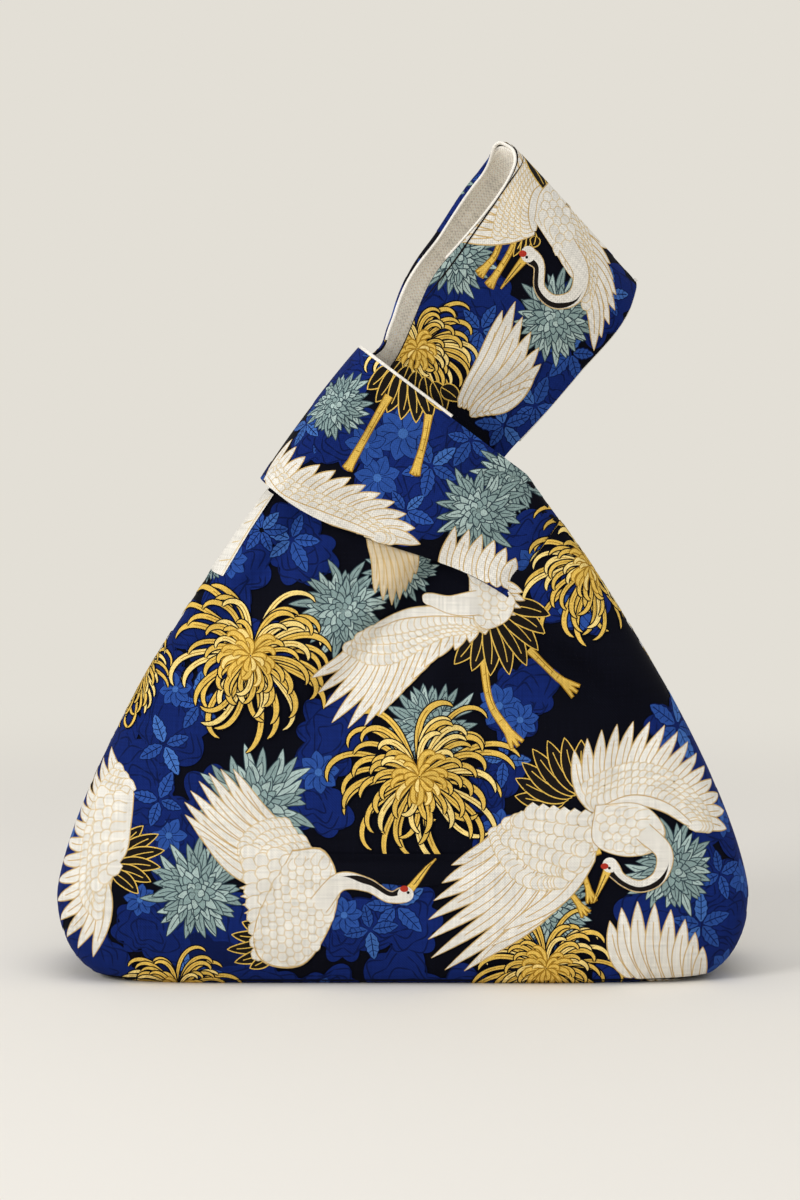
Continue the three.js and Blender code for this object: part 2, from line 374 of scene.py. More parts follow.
class BodySurface(ClothSurface):
    """Front or back face of the body, from the seam under the base to the neck.

    Cloth u is the front-view x over the flat of the face and arc length round the sides;
    v is the height, and below 0 the way in under the base.
    """

    waves = ((58.0, 0.9), (27.0, 0.45))
    flat_share: float = 0.85
    top: float = 214.0
    columns: int = 360
    turns: int = 900
    skin: float = 0.15
    side_hold: tuple[float, float] = (0.86, 1.0)
    base_hold: tuple[float, float] = (4.0, 30.0)

    def __init__(self, side: Side, creases: tuple[Crease, ...], seed: int) -> None:
        """Tabulate the face of one side.

        Args:
            side: which side.
            creases: its own folds.
            seed: which set of waves its slack has.
        """
        self.side = side
        self.creases = creases
        self.seed = seed
        self.base_reach = float(SHAPE.half_depth(np.array(0.0)))
        self.rows = np.arange(-self.base_reach, self.top + 0.5, 1.0)
        self.reach = np.zeros(len(self.rows))
        self.table = np.zeros((len(self.rows), self.columns + 1, 2))
        self._tabulate()

    def _tabulate(self) -> None:
        """Fill the table of section points at even steps of cloth."""
        turn = np.linspace(0.0, math.pi / 2, self.turns)
        even = np.linspace(0.0, 1.0, self.columns + 1)
        for row, v in enumerate(self.rows):
            z = max(v, 0.0)
            share = 1.0 + min(v, 0.0) / self.base_reach
            power = 2.0 / float(SHAPE.squareness(z))
            half = float(SHAPE.half_width(z)) - SHAPE.base_seam_inset * (1.0 - share)
            deep = max(share, 1e-4) * float(SHAPE.half_depth(z))
            section = np.stack([half * np.sin(turn) ** power, deep * np.cos(turn) ** power], axis=1)
            arc = arc_of(section)
            flat = self.flat_share * half
            over = np.maximum(arc - np.interp(flat, section[:, 0], arc), 0.0)
            cloth = np.minimum(section[:, 0], flat) + over
            self.reach[row] = cloth[-1]
            for axis in range(2):
                self.table[row, :, axis] = np.interp(even * cloth[-1], cloth, section[:, axis])

    def half_cloth(self, v: Array) -> Array:
        """Cloth from the middle to the side seam at v."""
        return np.interp(v, self.rows, self.reach)

    def place(self, u: Array, v: Array) -> Array:
        """Points of the face, with its creases and slack.

        Args:
            u: places across the cloth.
            v: places up the cloth.

        Returns:
            The points, as rows.
        """
        v = np.clip(v, self.rows[0], self.rows[-1])
        share = np.clip(np.abs(u) / self.half_cloth(v), 0.0, 1.0)
        row = np.clip(v - self.rows[0], 0.0, len(self.rows) - 1.001)
        column = np.clip(share * self.columns, 0.0, self.columns - 0.001)
        low, left = row.astype(int), column.astype(int)
        up, over = (row - low)[:, None], (column - left)[:, None]
        lower = blend_between(self.table[low, left], self.table[low, left + 1], over)
        upper = blend_between(self.table[low + 1, left], self.table[low + 1, left + 1], over)
        across, deep = blend_between(lower, upper, up).T
        x = np.sign(u) * across * -self.side.value
        held = (1 - smooth(share, *self.side_hold)) * smooth(v, *self.base_hold)
        y = self.side.value * (deep + self.skin + self.slack(u, v) * held)
        return np.stack([x, y, np.maximum(v, 0.0)], axis=1)


class BandSurface(ClothSurface):
    """The short handle: across the front, round the fold on the left, and along the back.

    Cloth u is the run over the front; left of the fold's start it is arc length round the
    fold and then along the back. v is the rise.
    """

    seed = 11
    waves = ((46.0, 0.9), (21.0, 0.45))
    creases = (Crease((-165, 150), (-95, 172), 7, 2.8),
               Crease((-160, 176), (-100, 190), 6, -2.6),
               Crease((-120, 152), (-72, 186), 7, 3))
    roll: float = 3.2
    roll_level: float = 0.75
    roll_power: float = 2.6
    tuck: float = 5.5
    tuck_span: tuple[float, float] = (-112.0, -78.0)
    tuck_share: float = 0.34
    dive: float = 2.6
    dive_run: float = 9.0
    dive_end: float = 1.0
    join_hold: float = 0.85
    fold_fade: float = 14.0
    fold_reach: float = 20.0
    fold_swell: float = 0.4
    skin: float = 0.35
    fold_columns: int = 400

    def __init__(self, inset: float = 0.0) -> None:
        """Tabulate the path of the band, held in by inset.

        Args:
            inset: how far inside the outer face this one lies.
        """
        self.inset = inset
        turn = np.linspace(0.0, math.pi, self.fold_columns)
        run = SHAPE.band_fold_start - (SHAPE.band_fold_run - inset) * np.sin(turn)
        depth = (inset - SHAPE.band_depth / 2) * np.cos(turn)
        self.fold = np.stack([run, depth], axis=1)
        self.arc = arc_of(self.fold)
        self.fold_arc = float(self.arc[-1])

    @property
    def back_end(self) -> float:
        """Cloth place of the band's end on the back."""
        return 2 * SHAPE.band_fold_start - self.fold_arc - SHAPE.band_end

    def path(self, u: Array) -> tuple[Array, Array]:
        """Run and depth, from front (-) to back (+), of cloth places along the band.

        Args:
            u: the cloth places.

        Returns:
            Their run and depth.
        """
        start = SHAPE.band_fold_start
        past = np.clip(start - u, 0.0, self.fold_arc)
        run, depth = (np.interp(past, self.arc, self.fold[:, axis]) for axis in range(2))
        run = np.where(u >= start, u, run)
        return np.where(u < start - self.fold_arc, 2 * start - self.fold_arc - u, run), depth

    def place(self, u: Array, v: Array) -> Array:
        """Points of the band, with its rolled edges and slack.

        Args:
            u: places along the band.
            v: rises.

        Returns:
            The points, as rows.
        """
        u = np.clip(u, self.back_end, SHAPE.band_end)
        run, depth = self.path(u)
        low, high = SHAPE.band_low(run), SHAPE.band_high(run)
        share = np.clip((v - low) / np.maximum(high - low, 1e-6), -0.2, 1.2)
        near = np.abs(depth)
        roll = self.roll * (1.0 - np.abs(2.0 * share - 1.0) ** self.roll_power - self.roll_level)
        tuck = self.tuck * smooth(run, *self.tuck_span) * (1 - smooth(share, 0.0, self.tuck_share))
        joining = smooth(run, SHAPE.band_end - SHAPE.join_run, SHAPE.band_end)
        swell = (roll - tuck + self.slack(u, v)) * (1 - self.join_hold * joining)
        shoulder = SHAPE.skin_depth(*SHAPE.from_band(run, v)) + self.skin - self.inset
        flat = near + swell * np.clip(near / self.fold_fade, 0.0, 1.0)
        dive = self.dive * smooth(run, SHAPE.band_end - self.dive_run, SHAPE.band_end - self.dive_end)
        deep = np.where(depth < 0, -1.0, 1.0) * (blend_between(flat, shoulder, joining) - dive)
        outward = np.clip(1.0 - near / self.fold_reach, 0.0, 1.0) * roll * self.fold_swell
        x, z = SHAPE.from_band(run - outward, v)
        return np.stack([x, deep, z], axis=1)


class HandleSurface(ClothSurface):
    """The long handle: a loop of strap from the band up, over the top, and down again.

    Cloth u is the place across the strap, v the length along the loop from the top, below 0
    on the front strap and above 0 on the back one.
    """

    seed = 23
    waves = ((52.0, 0.7), (24.0, 0.4))
    creases = (Crease((-20, -120), (26, -60), 8, 2.2),)
    profile: tuple[tuple[float, float], ...] = (
        (-74.0, 11.5), (-52.0, 10.0), (-30.0, 8.4), (-10.0, 7.0), (6.0, 7.2), (24.0, 10.8),
        (43.0, 17.2), (60.0, 20.8), (73.0, 19.4), (82.0, 13.2), (87.0, 5.6), (88.0, 0.0))
    steps: int = 900
    widening: tuple[float, float] = (-20.0, 34.0)
    twisting: tuple[float, float] = (-55.0, -4.0)
    lean: float = -4.5
    leaning: tuple[float, float] = (-4.0, 40.0)
    swell: float = 13.0
    swelling: tuple[float, float] = (-40.0, 2.0)
    swell_start: tuple[float, float] = (-14.0, 26.0)
    swell_extra: float = 0.45
    swell_ease: tuple[float, float] = (8.0, 44.0)
    swell_power: float = 1.5
    curl: float = 1.9
    curling: tuple[float, float] = (-10.0, 25.0)
    curl_end: tuple[float, float] = (74.0, 90.0)
    bow: float = 1.6
    bow_level: float = 0.35
    bowing: tuple[float, float] = (10.0, 40.0)
    bow_fade: tuple[float, float] = (3.0, 12.0)
    slack_fade: tuple[float, float] = (2.0, 12.0)
    hook_cloth: float = 12.0
    hook_turn: float = 2.9
    hooking: tuple[float, float] = (-24.0, -4.0)
    hook_start: tuple[float, float] = (2.0, 28.0)

    def __init__(self, inset: float = 0.0) -> None:
        """Tabulate the loop, held in by inset.

        Args:
            inset: how far inside the outer face this one lies.
        """
        self.inset = inset
        front = [(climb, -spread) for climb, spread in self.profile]
        knots = np.array(front + list(reversed(self.profile[:-1])))
        loop = spline(knots, self.steps // (len(knots) - 1))
        self.top = int(np.argmax(loop[:, 0]))
        arc = arc_of(loop)
        self.arc = arc - arc[self.top]
        slope = np.gradient(loop, self.arc, axis=0)
        self.climb = loop[:, 0] - inset * slope[:, 1]
        self.spread = loop[:, 1] + inset * slope[:, 0]
        self.top = int(np.argmax(self.climb))

    @property
    def reach(self) -> tuple[float, float]:
        """Cloth places of the loop's two ends."""
        return float(self.arc[0]), float(self.arc[-1])

    def climb_at(self, v: Array) -> Array:
        """Climb over the hinge at places along the loop."""
        return np.interp(v, self.arc, self.climb)

    def half_strap(self, v: Array) -> Array:
        """Half the strap's width at a place along the loop."""
        share = smooth(self.climb_at(v), *self.widening)
        return blend_between(SHAPE.handle_neck_width, SHAPE.handle_width, share) / 2

    def along_at(self, climb: float, front: bool = True) -> float:
        """Cloth place along the loop at a climb over the hinge, on the front or back strap."""
        strap = slice(None, self.top) if front else slice(None, self.top, -1)
        return float(np.interp(climb, self.climb[strap], self.arc[strap]))

    def lean_at(self, climb: Array) -> Array:
        """How far the loop leans aside at a climb over the hinge."""
        return self.lean * smooth(climb, *self.leaning)

    def hook_at(self, v: Array) -> Array:
        """How far the left edge of the back strap is hooked forward, from 0 to 1."""
        return smooth(self.climb_at(v), *self.hooking) * smooth(v, *self.hook_start)

    def _hooked(self, u: Array, v: Array, half: Array) -> tuple[Array, Array]:
        """Places across the back strap with its left edge rolled forward.

        Args:
            u: places across the strap as it is cut.
            v: places along the loop.
            half: half the strap's width there.

        Returns:
            The place across, and how far the cloth comes forward.
        """
        climb = self.climb_at(v)
        past = np.clip(self.hook_cloth - half - u, 0.0, None)
        bend = np.maximum(self.hook_turn * self.hook_at(v) / self.hook_cloth, 1e-4)
        radius = 1.0 / bend - self.inset
        extra = self.swell_extra * (1.0 - smooth(climb, *self.swell_ease))
        reach = smooth(climb, *self.swelling) * smooth(v, *self.swell_start)
        swell = self.swell * reach * (1.0 + extra)
        across = np.where(past > 0, self.hook_cloth - half - radius * np.sin(bend * past), u)
        across = across - swell * np.clip(-u / half, 0.0, 1.0) ** self.swell_power
        return across, radius * (1.0 - np.cos(bend * past))

    def place(self, u: Array, v: Array) -> Array:
        """Points of the strap, with its curled edges and slack.

        Args:
            u: places across the strap.
            v: places along the loop.

        Returns:
            The points, as rows.
        """
        v = np.clip(v, *self.reach)
        spread = np.interp(v, self.arc, self.spread)
        side, near = np.sign(spread), np.abs(spread)
        half = self.half_strap(v)
        share = np.clip(u / half, -1.05, 1.05)
        climb = self.climb_at(v)
        climb = climb * np.where(climb > 0, 1.0 - SHAPE.handle_slant * u / SHAPE.handle_length, 1.0)
        curl = self.curl * share ** 4 * smooth(climb, *self.curling) * (1 - smooth(climb, *self.curl_end))
        curl = curl * (1 - self.hook_at(v) * (share < 0))
        bow = self.bow * (share ** 2 - self.bow_level)
        bow = bow * smooth(climb, *self.bowing) * smooth(near, *self.bow_fade)
        slack = self.slack(u, v) * smooth(near, *self.slack_fade)
        across, forward = self._hooked(u, v, half)
        spread = spread + side * (slack - bow - curl) - forward
        twist = SHAPE.handle_yaw * smooth(climb, *self.twisting)
        cos, sin = np.cos(twist), np.sin(twist)
        run = SHAPE.handle_middle + self.lean_at(climb) + across * cos - spread * sin
        x, z = SHAPE.from_band(run, SHAPE.hinge_rise + climb)
        return np.stack([x, across * sin + spread * cos, z], axis=1)


BAND_FACE = BandSurface()
HANDLE_FACE = HandleSurface()


def linear(colour: Sequence[float]) -> tuple[float, ...]:
    """Linear values of a colour written as 0 to 255."""
    shares = [value / 255.0 for value in colour]
    return tuple(s / 12.92 if s <= 0.04045 else ((s + 0.055) / 1.055) ** 2.4 for s in shares)


class Tint(Enum):
    """Colours of the cloths, the print and the trim, as 0 to 255."""

    NAVY = (7, 8, 18)
    ROYAL = (16, 35, 98)
    ROYAL_DEEP = (10, 23, 68)
    LEAF = (40, 74, 146)
    LEAF_PALE = (60, 100, 168)
    GREY = (132, 154, 152)
    GREY_DEEP = (48, 64, 72)
    GREY_PALE = (164, 184, 180)
    GOLD = (220, 182, 86)
    GOLD_PALE = (238, 210, 130)
    GOLD_DEEP = (158, 118, 36)
    WHITE = (224, 220, 211)
    # painted shade: cream darkened for the feathers that hang in the band's shadow
    CREAM_IN_SHADE = (208, 192, 162)
    TAN = (196, 166, 112)
    SAND = (210, 188, 146)
    BLACK = (26, 22, 20)
    RED = (170, 52, 38)
    # painted light: pale linen made lighter still, standing in for light that hardly reaches the lining
    # inside the handle loop
    LINEN = (252, 247, 237)
    EDGING = (236, 231, 221)
    INTERLINING = (226, 221, 211)
    THREAD = (226, 219, 206)
    PAPER = (235, 231, 224)
    AIR = (227, 223, 214)

    @property
    def solid(self) -> tuple[float, ...]:
        """The colour as a shader takes it, with full cover."""
        return (*linear(self.value), 1.0)


class Wiring:
    """Places and joins the nodes of one tree."""

    def __init__(self, tree: Tree) -> None:
        """Work on one tree."""
        self.tree = tree

    def feed(self, node: bpy.types.Node, inputs: dict[str | int, object]) -> None:
        """Join a node's inputs, by name or number, to sockets, or set them to values.

        Args:
            node: the node.
            inputs: the socket or value of each input.
        """
        for label, value in inputs.items():
            if isinstance(value, Socket):
                self.tree.links.new(value, node.inputs[label])
            else:
                node.inputs[label].default_value = value

    def node(self, kind: str, inputs: dict[str | int, object] | None = None,
             **settings: object) -> bpy.types.Node:
        """Place a node.

        Args:
            kind: the node's type.
            inputs: the socket or value of each input.
            settings: the node's own properties.

        Returns:
            The new node.
        """
        made = self.tree.nodes.new(kind)
        for label, value in settings.items():
            setattr(made, label, value)
        self.feed(made, inputs or {})
        return made

    def maths(self, operation: str, *values: object) -> Socket:
        """Place a Math node on sockets or numbers and return its result."""
        return self.node("ShaderNodeMath", dict(enumerate(values)), operation=operation).outputs[0]

    def weighed(self, *pairs: tuple[Socket, float]) -> Socket:
        """Add two sockets, each times its weight."""
        return self.maths("ADD", *(self.maths("MULTIPLY", socket, weight) for socket, weight in pairs))

    def noise(self, vector: Socket, scale: float, detail: float = 2.0) -> Socket:
        """Place a Noise texture and return its value."""
        inputs = {"Vector": vector, "Scale": scale, "Detail": detail}
        return self.node("ShaderNodeTexNoise", inputs).outputs["Fac"]


def new_group(name: str, inputs: dict[str, float | None],
              outputs: Sequence[str]) -> tuple[Wiring, object, bpy.types.Node]:
    """Start a shader node group.

    Args:
        name: the group's name.
        inputs: default of each input, or None for a vector.
        outputs: names of the outputs.

    Returns:
        The wiring of the group, its input sockets and its output node.
    """
    tree = bpy.data.node_groups.new(name, "ShaderNodeTree")
    for label, value in inputs.items():
        kind = "NodeSocketVector" if value is None else "NodeSocketFloat"
        socket = tree.interface.new_socket(label, in_out="INPUT", socket_type=kind)
        if value is not None:
            socket.default_value = value
    for label in outputs:
        tree.interface.new_socket(label, in_out="OUTPUT", socket_type="NodeSocketFloat")
    wire = Wiring(tree)
    return wire, wire.node("NodeGroupInput").outputs, wire.node("NodeGroupOutput")


def weave_group() -> Tree:
    """Plain weave: threads over and under, with slubs, on a cloth map in metres.

    Returns:
        A group that gives the cloth's height and tone.
    """
    wire, entry, leave = new_group("plain_weave", {"Cloth": None, "Threads per metre": 1600.0},
                                   ("Height", "Tone"))
    parts = wire.node("ShaderNodeSeparateXYZ", {0: entry["Cloth"]})
    turn = wire.maths("MULTIPLY", entry["Threads per metre"], math.pi)
    waves = [wire.maths("SINE", wire.maths("MULTIPLY", parts.outputs[axis], turn)) for axis in range(2)]
    crossing = wire.maths("MULTIPLY", *waves)
    slubs = []
    for scale in ((1400.0, 60.0, 1.0), (60.0, 1400.0, 1.0)):
        drawn = wire.node("ShaderNodeMapping", {"Vector": entry["Cloth"], "Scale": scale})
        slubs.append((wire.noise(drawn.outputs["Vector"], 1.0), 0.5))
    slub = wire.weighed(*slubs)
    tone = wire.maths("ADD", wire.weighed((crossing, 0.16), (slub, 1.2)), 0.4)
    wire.feed(leave, {"Height": wire.weighed((crossing, 0.5), (slub, 1.0)), "Tone": tone})
    return wire.tree


def handling_group() -> Tree:
    """Soft uneven tone of handled cloth, on object coordinates in metres.

    Returns:
        A group that gives a tone and a roughness.
    """
    wire, entry, leave = new_group("handling", {"Place": None, "Amount": 0.12}, ("Tone", "Rough"))
    broad, fine = (wire.noise(entry["Place"], scale, 3.0) for scale in (18.0, 210.0))
    mixed = wire.weighed((broad, 0.6), (fine, 0.4))
    swing = wire.maths("MULTIPLY", wire.maths("SUBTRACT", mixed, 0.5), entry["Amount"])
    wire.feed(leave, {"Tone": wire.maths("ADD", swing, 1.0), "Rough": wire.maths("MULTIPLY", mixed, 0.2)})
    return wire.tree


PRINT_COLOUR = "print_colour"


@dataclass(frozen=True)
class ClothFinish:
    """A woven finish: its colour, or the print's where it has none, its weave and its sheen."""

    name: str
    tint: Tint | None
    threads: float = 1700.0
    bump: float = 0.32
    bump_depth: float = 0.00012
    roughness: float = 0.8
    sheen: float = 0.01
    sheen_roughness: float = 0.45
    specular: float = 0.05
    handling: float = 0.14
    weave_tone: float = 1.0

    def material(self, weave: Tree, handling: Tree) -> Material:
        """Build the material.

        Args:
            weave: the shared weave group.
            handling: the shared handling group.

        Returns:
            The new material.
        """
        made = bpy.data.materials.new(self.name)
        made.use_nodes = True
        wire = Wiring(made.node_tree)
        cloth = wire.node("ShaderNodeUVMap", uv_map="cloth")
        threads = wire.node("ShaderNodeGroup", node_tree=weave)
        wire.feed(threads, {"Cloth": cloth.outputs["UV"], "Threads per metre": self.threads})
        place = wire.node("ShaderNodeTexCoord")
        worn = wire.node("ShaderNodeGroup", node_tree=handling)
        wire.feed(worn, {"Place": place.outputs["Object"], "Amount": self.handling})
        swing = wire.maths("MULTIPLY", wire.maths("SUBTRACT", threads.outputs["Tone"], 1.0), self.weave_tone)
        tone = wire.maths("MULTIPLY", wire.maths("ADD", swing, 1.0), worn.outputs["Tone"])
        if self.tint is None:
            colour = wire.node("ShaderNodeAttribute", attribute_name=PRINT_COLOUR).outputs["Color"]
        else:
            colour = linear(self.tint.value)
        tinted = wire.node("ShaderNodeVectorMath", operation="SCALE")
        wire.feed(tinted, {0: colour, "Scale": tone})
        bump = wire.node("ShaderNodeBump", {"Strength": self.bump, "Distance": self.bump_depth,
                                            "Height": threads.outputs["Height"]})
        wire.feed(made.node_tree.nodes["Principled BSDF"], {
            "Base Color": tinted.outputs["Vector"],
            "Roughness": wire.maths("ADD", worn.outputs["Rough"], self.roughness - 0.1),
            "Normal": bump.outputs["Normal"],
            "Sheen Weight": self.sheen,
            "Sheen Roughness": self.sheen_roughness,
            "Specular IOR Level": self.specular})
        return made


class Finishes:
    """All the materials of the bag, made once."""

    def __init__(self) -> None:
        """Build the shared groups and every material."""
        self.groups = weave_group(), handling_group()
        self.ground = self._cloth("navy_cotton", Tint.NAVY, roughness=0.82)
        self.print = self._cloth("printed_cotton", None)
        # painted light: the lining's linen colour is lightened past its own, for the dim light inside the
        # loop
        self.linen = self._cloth("natural_linen", Tint.LINEN, threads=1300.0, bump=0.5, bump_depth=0.0002,
                                 roughness=0.85, weave_tone=1.15, sheen=0.2)
        self.interlining = self._cloth("felted_interlining", Tint.INTERLINING, threads=900.0, roughness=0.92)
        self.edging = self._cloth("white_edging", Tint.EDGING, threads=2100.0, bump=0.4, roughness=0.7)
        self.thread = self._cloth("ecru_thread", Tint.THREAD, threads=3200.0, roughness=0.55)

    def _cloth(self, name: str, tint: Tint | None, **looks: float) -> Material:
        """Make one material."""
        return ClothFinish(name, tint, **looks).material(*self.groups)


def add_object(name: str, mesh: bpy.types.Mesh) -> Piece:
    """Put a mesh in the scene as an object at the origin.

    Args:
        name: the object's name.
        mesh: its mesh.

    Returns:
        The new object.
    """
    made = bpy.data.objects.new(name, mesh)
    bpy.context.scene.collection.objects.link(made)
    return made


def plain_mesh(obj: Piece) -> None:
    """Replace an object's mesh by its evaluated one and take its modifiers off.

    Args:
        obj: the object.
    """
    graph = bpy.context.evaluated_depsgraph_get()
    done = bpy.data.meshes.new_from_object(obj.evaluated_get(graph), depsgraph=graph)
    done.name = obj.name
    obj.modifiers.clear()
    obj.data = done


def mapped_piece(name: str, points: Array, faces: list, u: Array, v: Array,
                 finish: Material) -> Piece:
    """Make a smooth piece with the UV map that the weave reads.

    Args:
        name: the piece's name.
        points: its points in millimetres, as rows.
        faces: point numbers of each face.
        u: place of each point across the cloth.
        v: place of each point up the cloth.
        finish: its material.

    Returns:
        The new object.
    """
    mesh = bpy.data.meshes.new(name)
    mesh.from_pydata((points * MM).tolist(), [], faces)
    corners = np.zeros(len(mesh.loops), np.int32)
    mesh.loops.foreach_get("vertex_index", corners)
    flat = np.stack([u[corners], v[corners]], axis=1) * MM
    mesh.uv_layers.new(name="cloth").uv.foreach_set("vector", flat.astype(np.float32).ravel())
    mesh.polygons.foreach_set("use_smooth", np.ones(len(mesh.polygons), bool))
    mesh.materials.append(finish)
    return add_object(name, mesh)


def cloth_piece(name: str, surface: ClothSurface, u: Array, v: Array, finish: Material,
                height: float = 0.0, thickness: float = 0.0) -> Piece:
    """Make a sheet of cloth over a grid of cloth places.

    Args:
        name: the piece's name.
        surface: the face that the cloth follows.
        u: grid of places across the cloth, rows going up.
        v: grid of places up the cloth.
        finish: its material.
        height: how far over the face it lies.
        thickness: the cloth's own thickness, inwards.

    Returns:
        The new object.
    """
    index = np.arange(u.size).reshape(u.shape)
    quads = np.stack([index[:-1, :-1], index[:-1, 1:], index[1:, 1:], index[1:, :-1]], axis=-1)
    u, v = u.ravel(), v.ravel()
    points, _ = surface.points(u, v, height)
    obj = mapped_piece(name, points, quads.reshape(-1, 4).tolist(), u, v, finish)
    if thickness > 0:
        thicken = obj.modifiers.new("thickness", "SOLIDIFY")
        thicken.thickness = thickness * MM
        thicken.offset = -1.0
        thicken.use_rim = True
        plain_mesh(obj)
    return obj


def tube_piece(name: str, path: Array, radius: float, finish: Material,
               sides: int = 12) -> Piece:
    """Make a round cord along a path, with closed ends.

    Args:
        name: the piece's name.
        path: points in millimetres, as rows.
        radius: the cord's radius.
        finish: its material.
        sides: faces round the cord.

    Returns:
        The new object.
    """
    ahead = unit(np.gradient(path, axis=0))
    out = np.cross(ahead[0], np.array([0.0, 1.0, 0.3]))
    sidesteps = []
    for direction in ahead:
        out = unit(out - direction * float(out @ direction))
        sidesteps.append(out)
    side = np.array(sidesteps)
    turn = np.linspace(0.0, math.tau, sides, endpoint=False)
    ring = np.einsum("pax,sa->psx", np.stack([side, np.cross(ahead, side)], axis=1), circle(turn))
    points = (path[:, None, :] + radius * ring).reshape(-1, 3)
    index = np.arange(len(points)).reshape(-1, sides)
    after = np.roll(index, -1, axis=1)
    quads = np.stack([index[:-1], after[:-1], after[1:], index[1:]], axis=-1)
    faces = quads.reshape(-1, 4).tolist() + [index[0, ::-1].tolist(), index[-1].tolist()]
    return mapped_piece(name, points, faces, np.repeat(arc_of(path), sides),
                        np.tile(turn * radius, len(path)), finish)


def stitch_tree() -> Tree:
    """Geometry nodes that lay one stitch after another along a line.

    Returns:
        The tree, with pitch, length, thread and finish as inputs.
    """
    tree = bpy.data.node_groups.new("stitch_line", "GeometryNodeTree")
    for label, kind, way in (("Geometry", "Geometry", "INPUT"), ("Pitch", "Float", "INPUT"),
                             ("Length", "Float", "INPUT"), ("Thread", "Float", "INPUT"),
                             ("Finish", "Material", "INPUT"), ("Geometry", "Geometry", "OUTPUT")):
        tree.interface.new_socket(label, in_out=way, socket_type=f"NodeSocket{kind}")
    wire = Wiring(tree)
    entry = wire.node("NodeGroupInput").outputs
    line = wire.node("GeometryNodeMeshToCurve", {"Mesh": entry["Geometry"]}).outputs["Curve"]
    even = wire.node("GeometryNodeResampleCurve", {"Curve": line, "Length": entry["Pitch"]}, mode="LENGTH")
    along = wire.node("GeometryNodeInputTangent").outputs["Tangent"]
    turn = wire.node("FunctionNodeAlignEulerToVector", {"Vector": along}, axis="X")
    ball = wire.node("GeometryNodeMeshUVSphere", {"Segments": 6, "Rings": 4, "Radius": 1.0})
    half, thin = (wire.maths("MULTIPLY", entry[label], 0.5) for label in ("Length", "Thread"))
    size = wire.node("ShaderNodeCombineXYZ", {0: half, 1: thin, 2: thin})
    laid = wire.node("GeometryNodeInstanceOnPoints", {
        "Points": even.outputs["Curve"], "Instance": ball.outputs["Mesh"],
        "Rotation": turn.outputs["Rotation"], "Scale": size.outputs["Vector"]})
    real = wire.node("GeometryNodeRealizeInstances", {"Geometry": laid.outputs["Instances"]})
    dressed = wire.node("GeometryNodeSetMaterial", {"Geometry": real.outputs["Geometry"],
                                                    "Material": entry["Finish"]})
    wire.node("NodeGroupOutput", {"Geometry": dressed.outputs["Geometry"]})
    return tree


def stitch_piece(name: str, lines: Sequence[Array], tree: Tree, finish: Material,
                 pitch: float = 2.6, length: float = 1.9, thread: float = 0.42) -> Piece:
    """Lay stitches along lines of points.

    Args:
        name: the piece's name.
        lines: paths in millimetres.
        tree: the stitch nodes.
        finish: the thread's material.
        pitch: from one stitch to the next.
        length: of one stitch.
        thread: its thickness.

    Returns:
        The stitches as one plain mesh.
    """
    points: list[list[float]] = []
    edges: list[tuple[int, int]] = []
    for path in lines:
        start = len(points)
        points.extend((path * MM).tolist())
        edges.extend((start + step, start + step + 1) for step in range(len(path) - 1))
    mesh = bpy.data.meshes.new(name)
    mesh.from_pydata(points, edges, [])
    obj = add_object(name, mesh)
    laid = obj.modifiers.new("stitches", "NODES")
    laid.node_group = tree
    values = {"Pitch": pitch * MM, "Length": length * MM, "Thread": thread * MM, "Finish": finish}
    for item in tree.interface.items_tree:
        if item.in_out == "INPUT" and item.name in values:
            laid[item.identifier] = values[item.name]
    plain_mesh(obj)
    return obj


Point = tuple[float, float] | np.ndarray
Path = Sequence[Point]
Clip = Callable[[Array, Array], tuple[Array, Array]]


def curve_through(points: Path, steps: int) -> Array:
    """Smooth flat path through points.

    Args:
        points: places to pass through.
        steps: points of the result.

    Returns:
        Rows of u, v at even steps.
    """
    knots = np.asarray(points, float)
    if len(knots) == 2:
        return blend_between(knots[0], knots[1], np.linspace(0.0, 1.0, steps)[:, None])
    dense = spline(knots, 16)
    arc = arc_of(dense)
    even = np.linspace(0.0, arc[-1], steps)
    return np.stack([np.interp(even, arc, dense[:, axis]) for axis in range(2)], axis=1)


def ribbon(path: Array, half: Array) -> Array:
    """Outline of a path widened by half on each side."""
    aside = left_of(unit(np.gradient(path, axis=0))) * half[:, None]
    return np.vstack([path + aside, (path - aside)[::-1]])


class Feather(Enum):
    """How a feather or petal narrows along its length."""

    POINTED = 0
    ROUND = 1
    OVAL = 2

    def profile(self, share: Array) -> Array:
        """Width along the length, as a share of the widest.

        Args:
            share: places along the length, from 0 to 1.

        Returns:
            The width at each place.
        """
        if self is Feather.POINTED:
            return np.clip(share / 0.3, 0.0, 1.0) ** 0.4 * (1.0 - share ** 3.2) ** 0.9
        if self is Feather.ROUND:
            blunt = np.sqrt(np.clip(1.0 - share ** 5, 0.0, 1.0))
            return (0.55 + 0.45 * np.clip(share / 0.5, 0.0, 1.0)) * blunt
        return np.sin(math.pi * np.clip(share, 0.0, 1.0) ** 0.8) ** 0.75


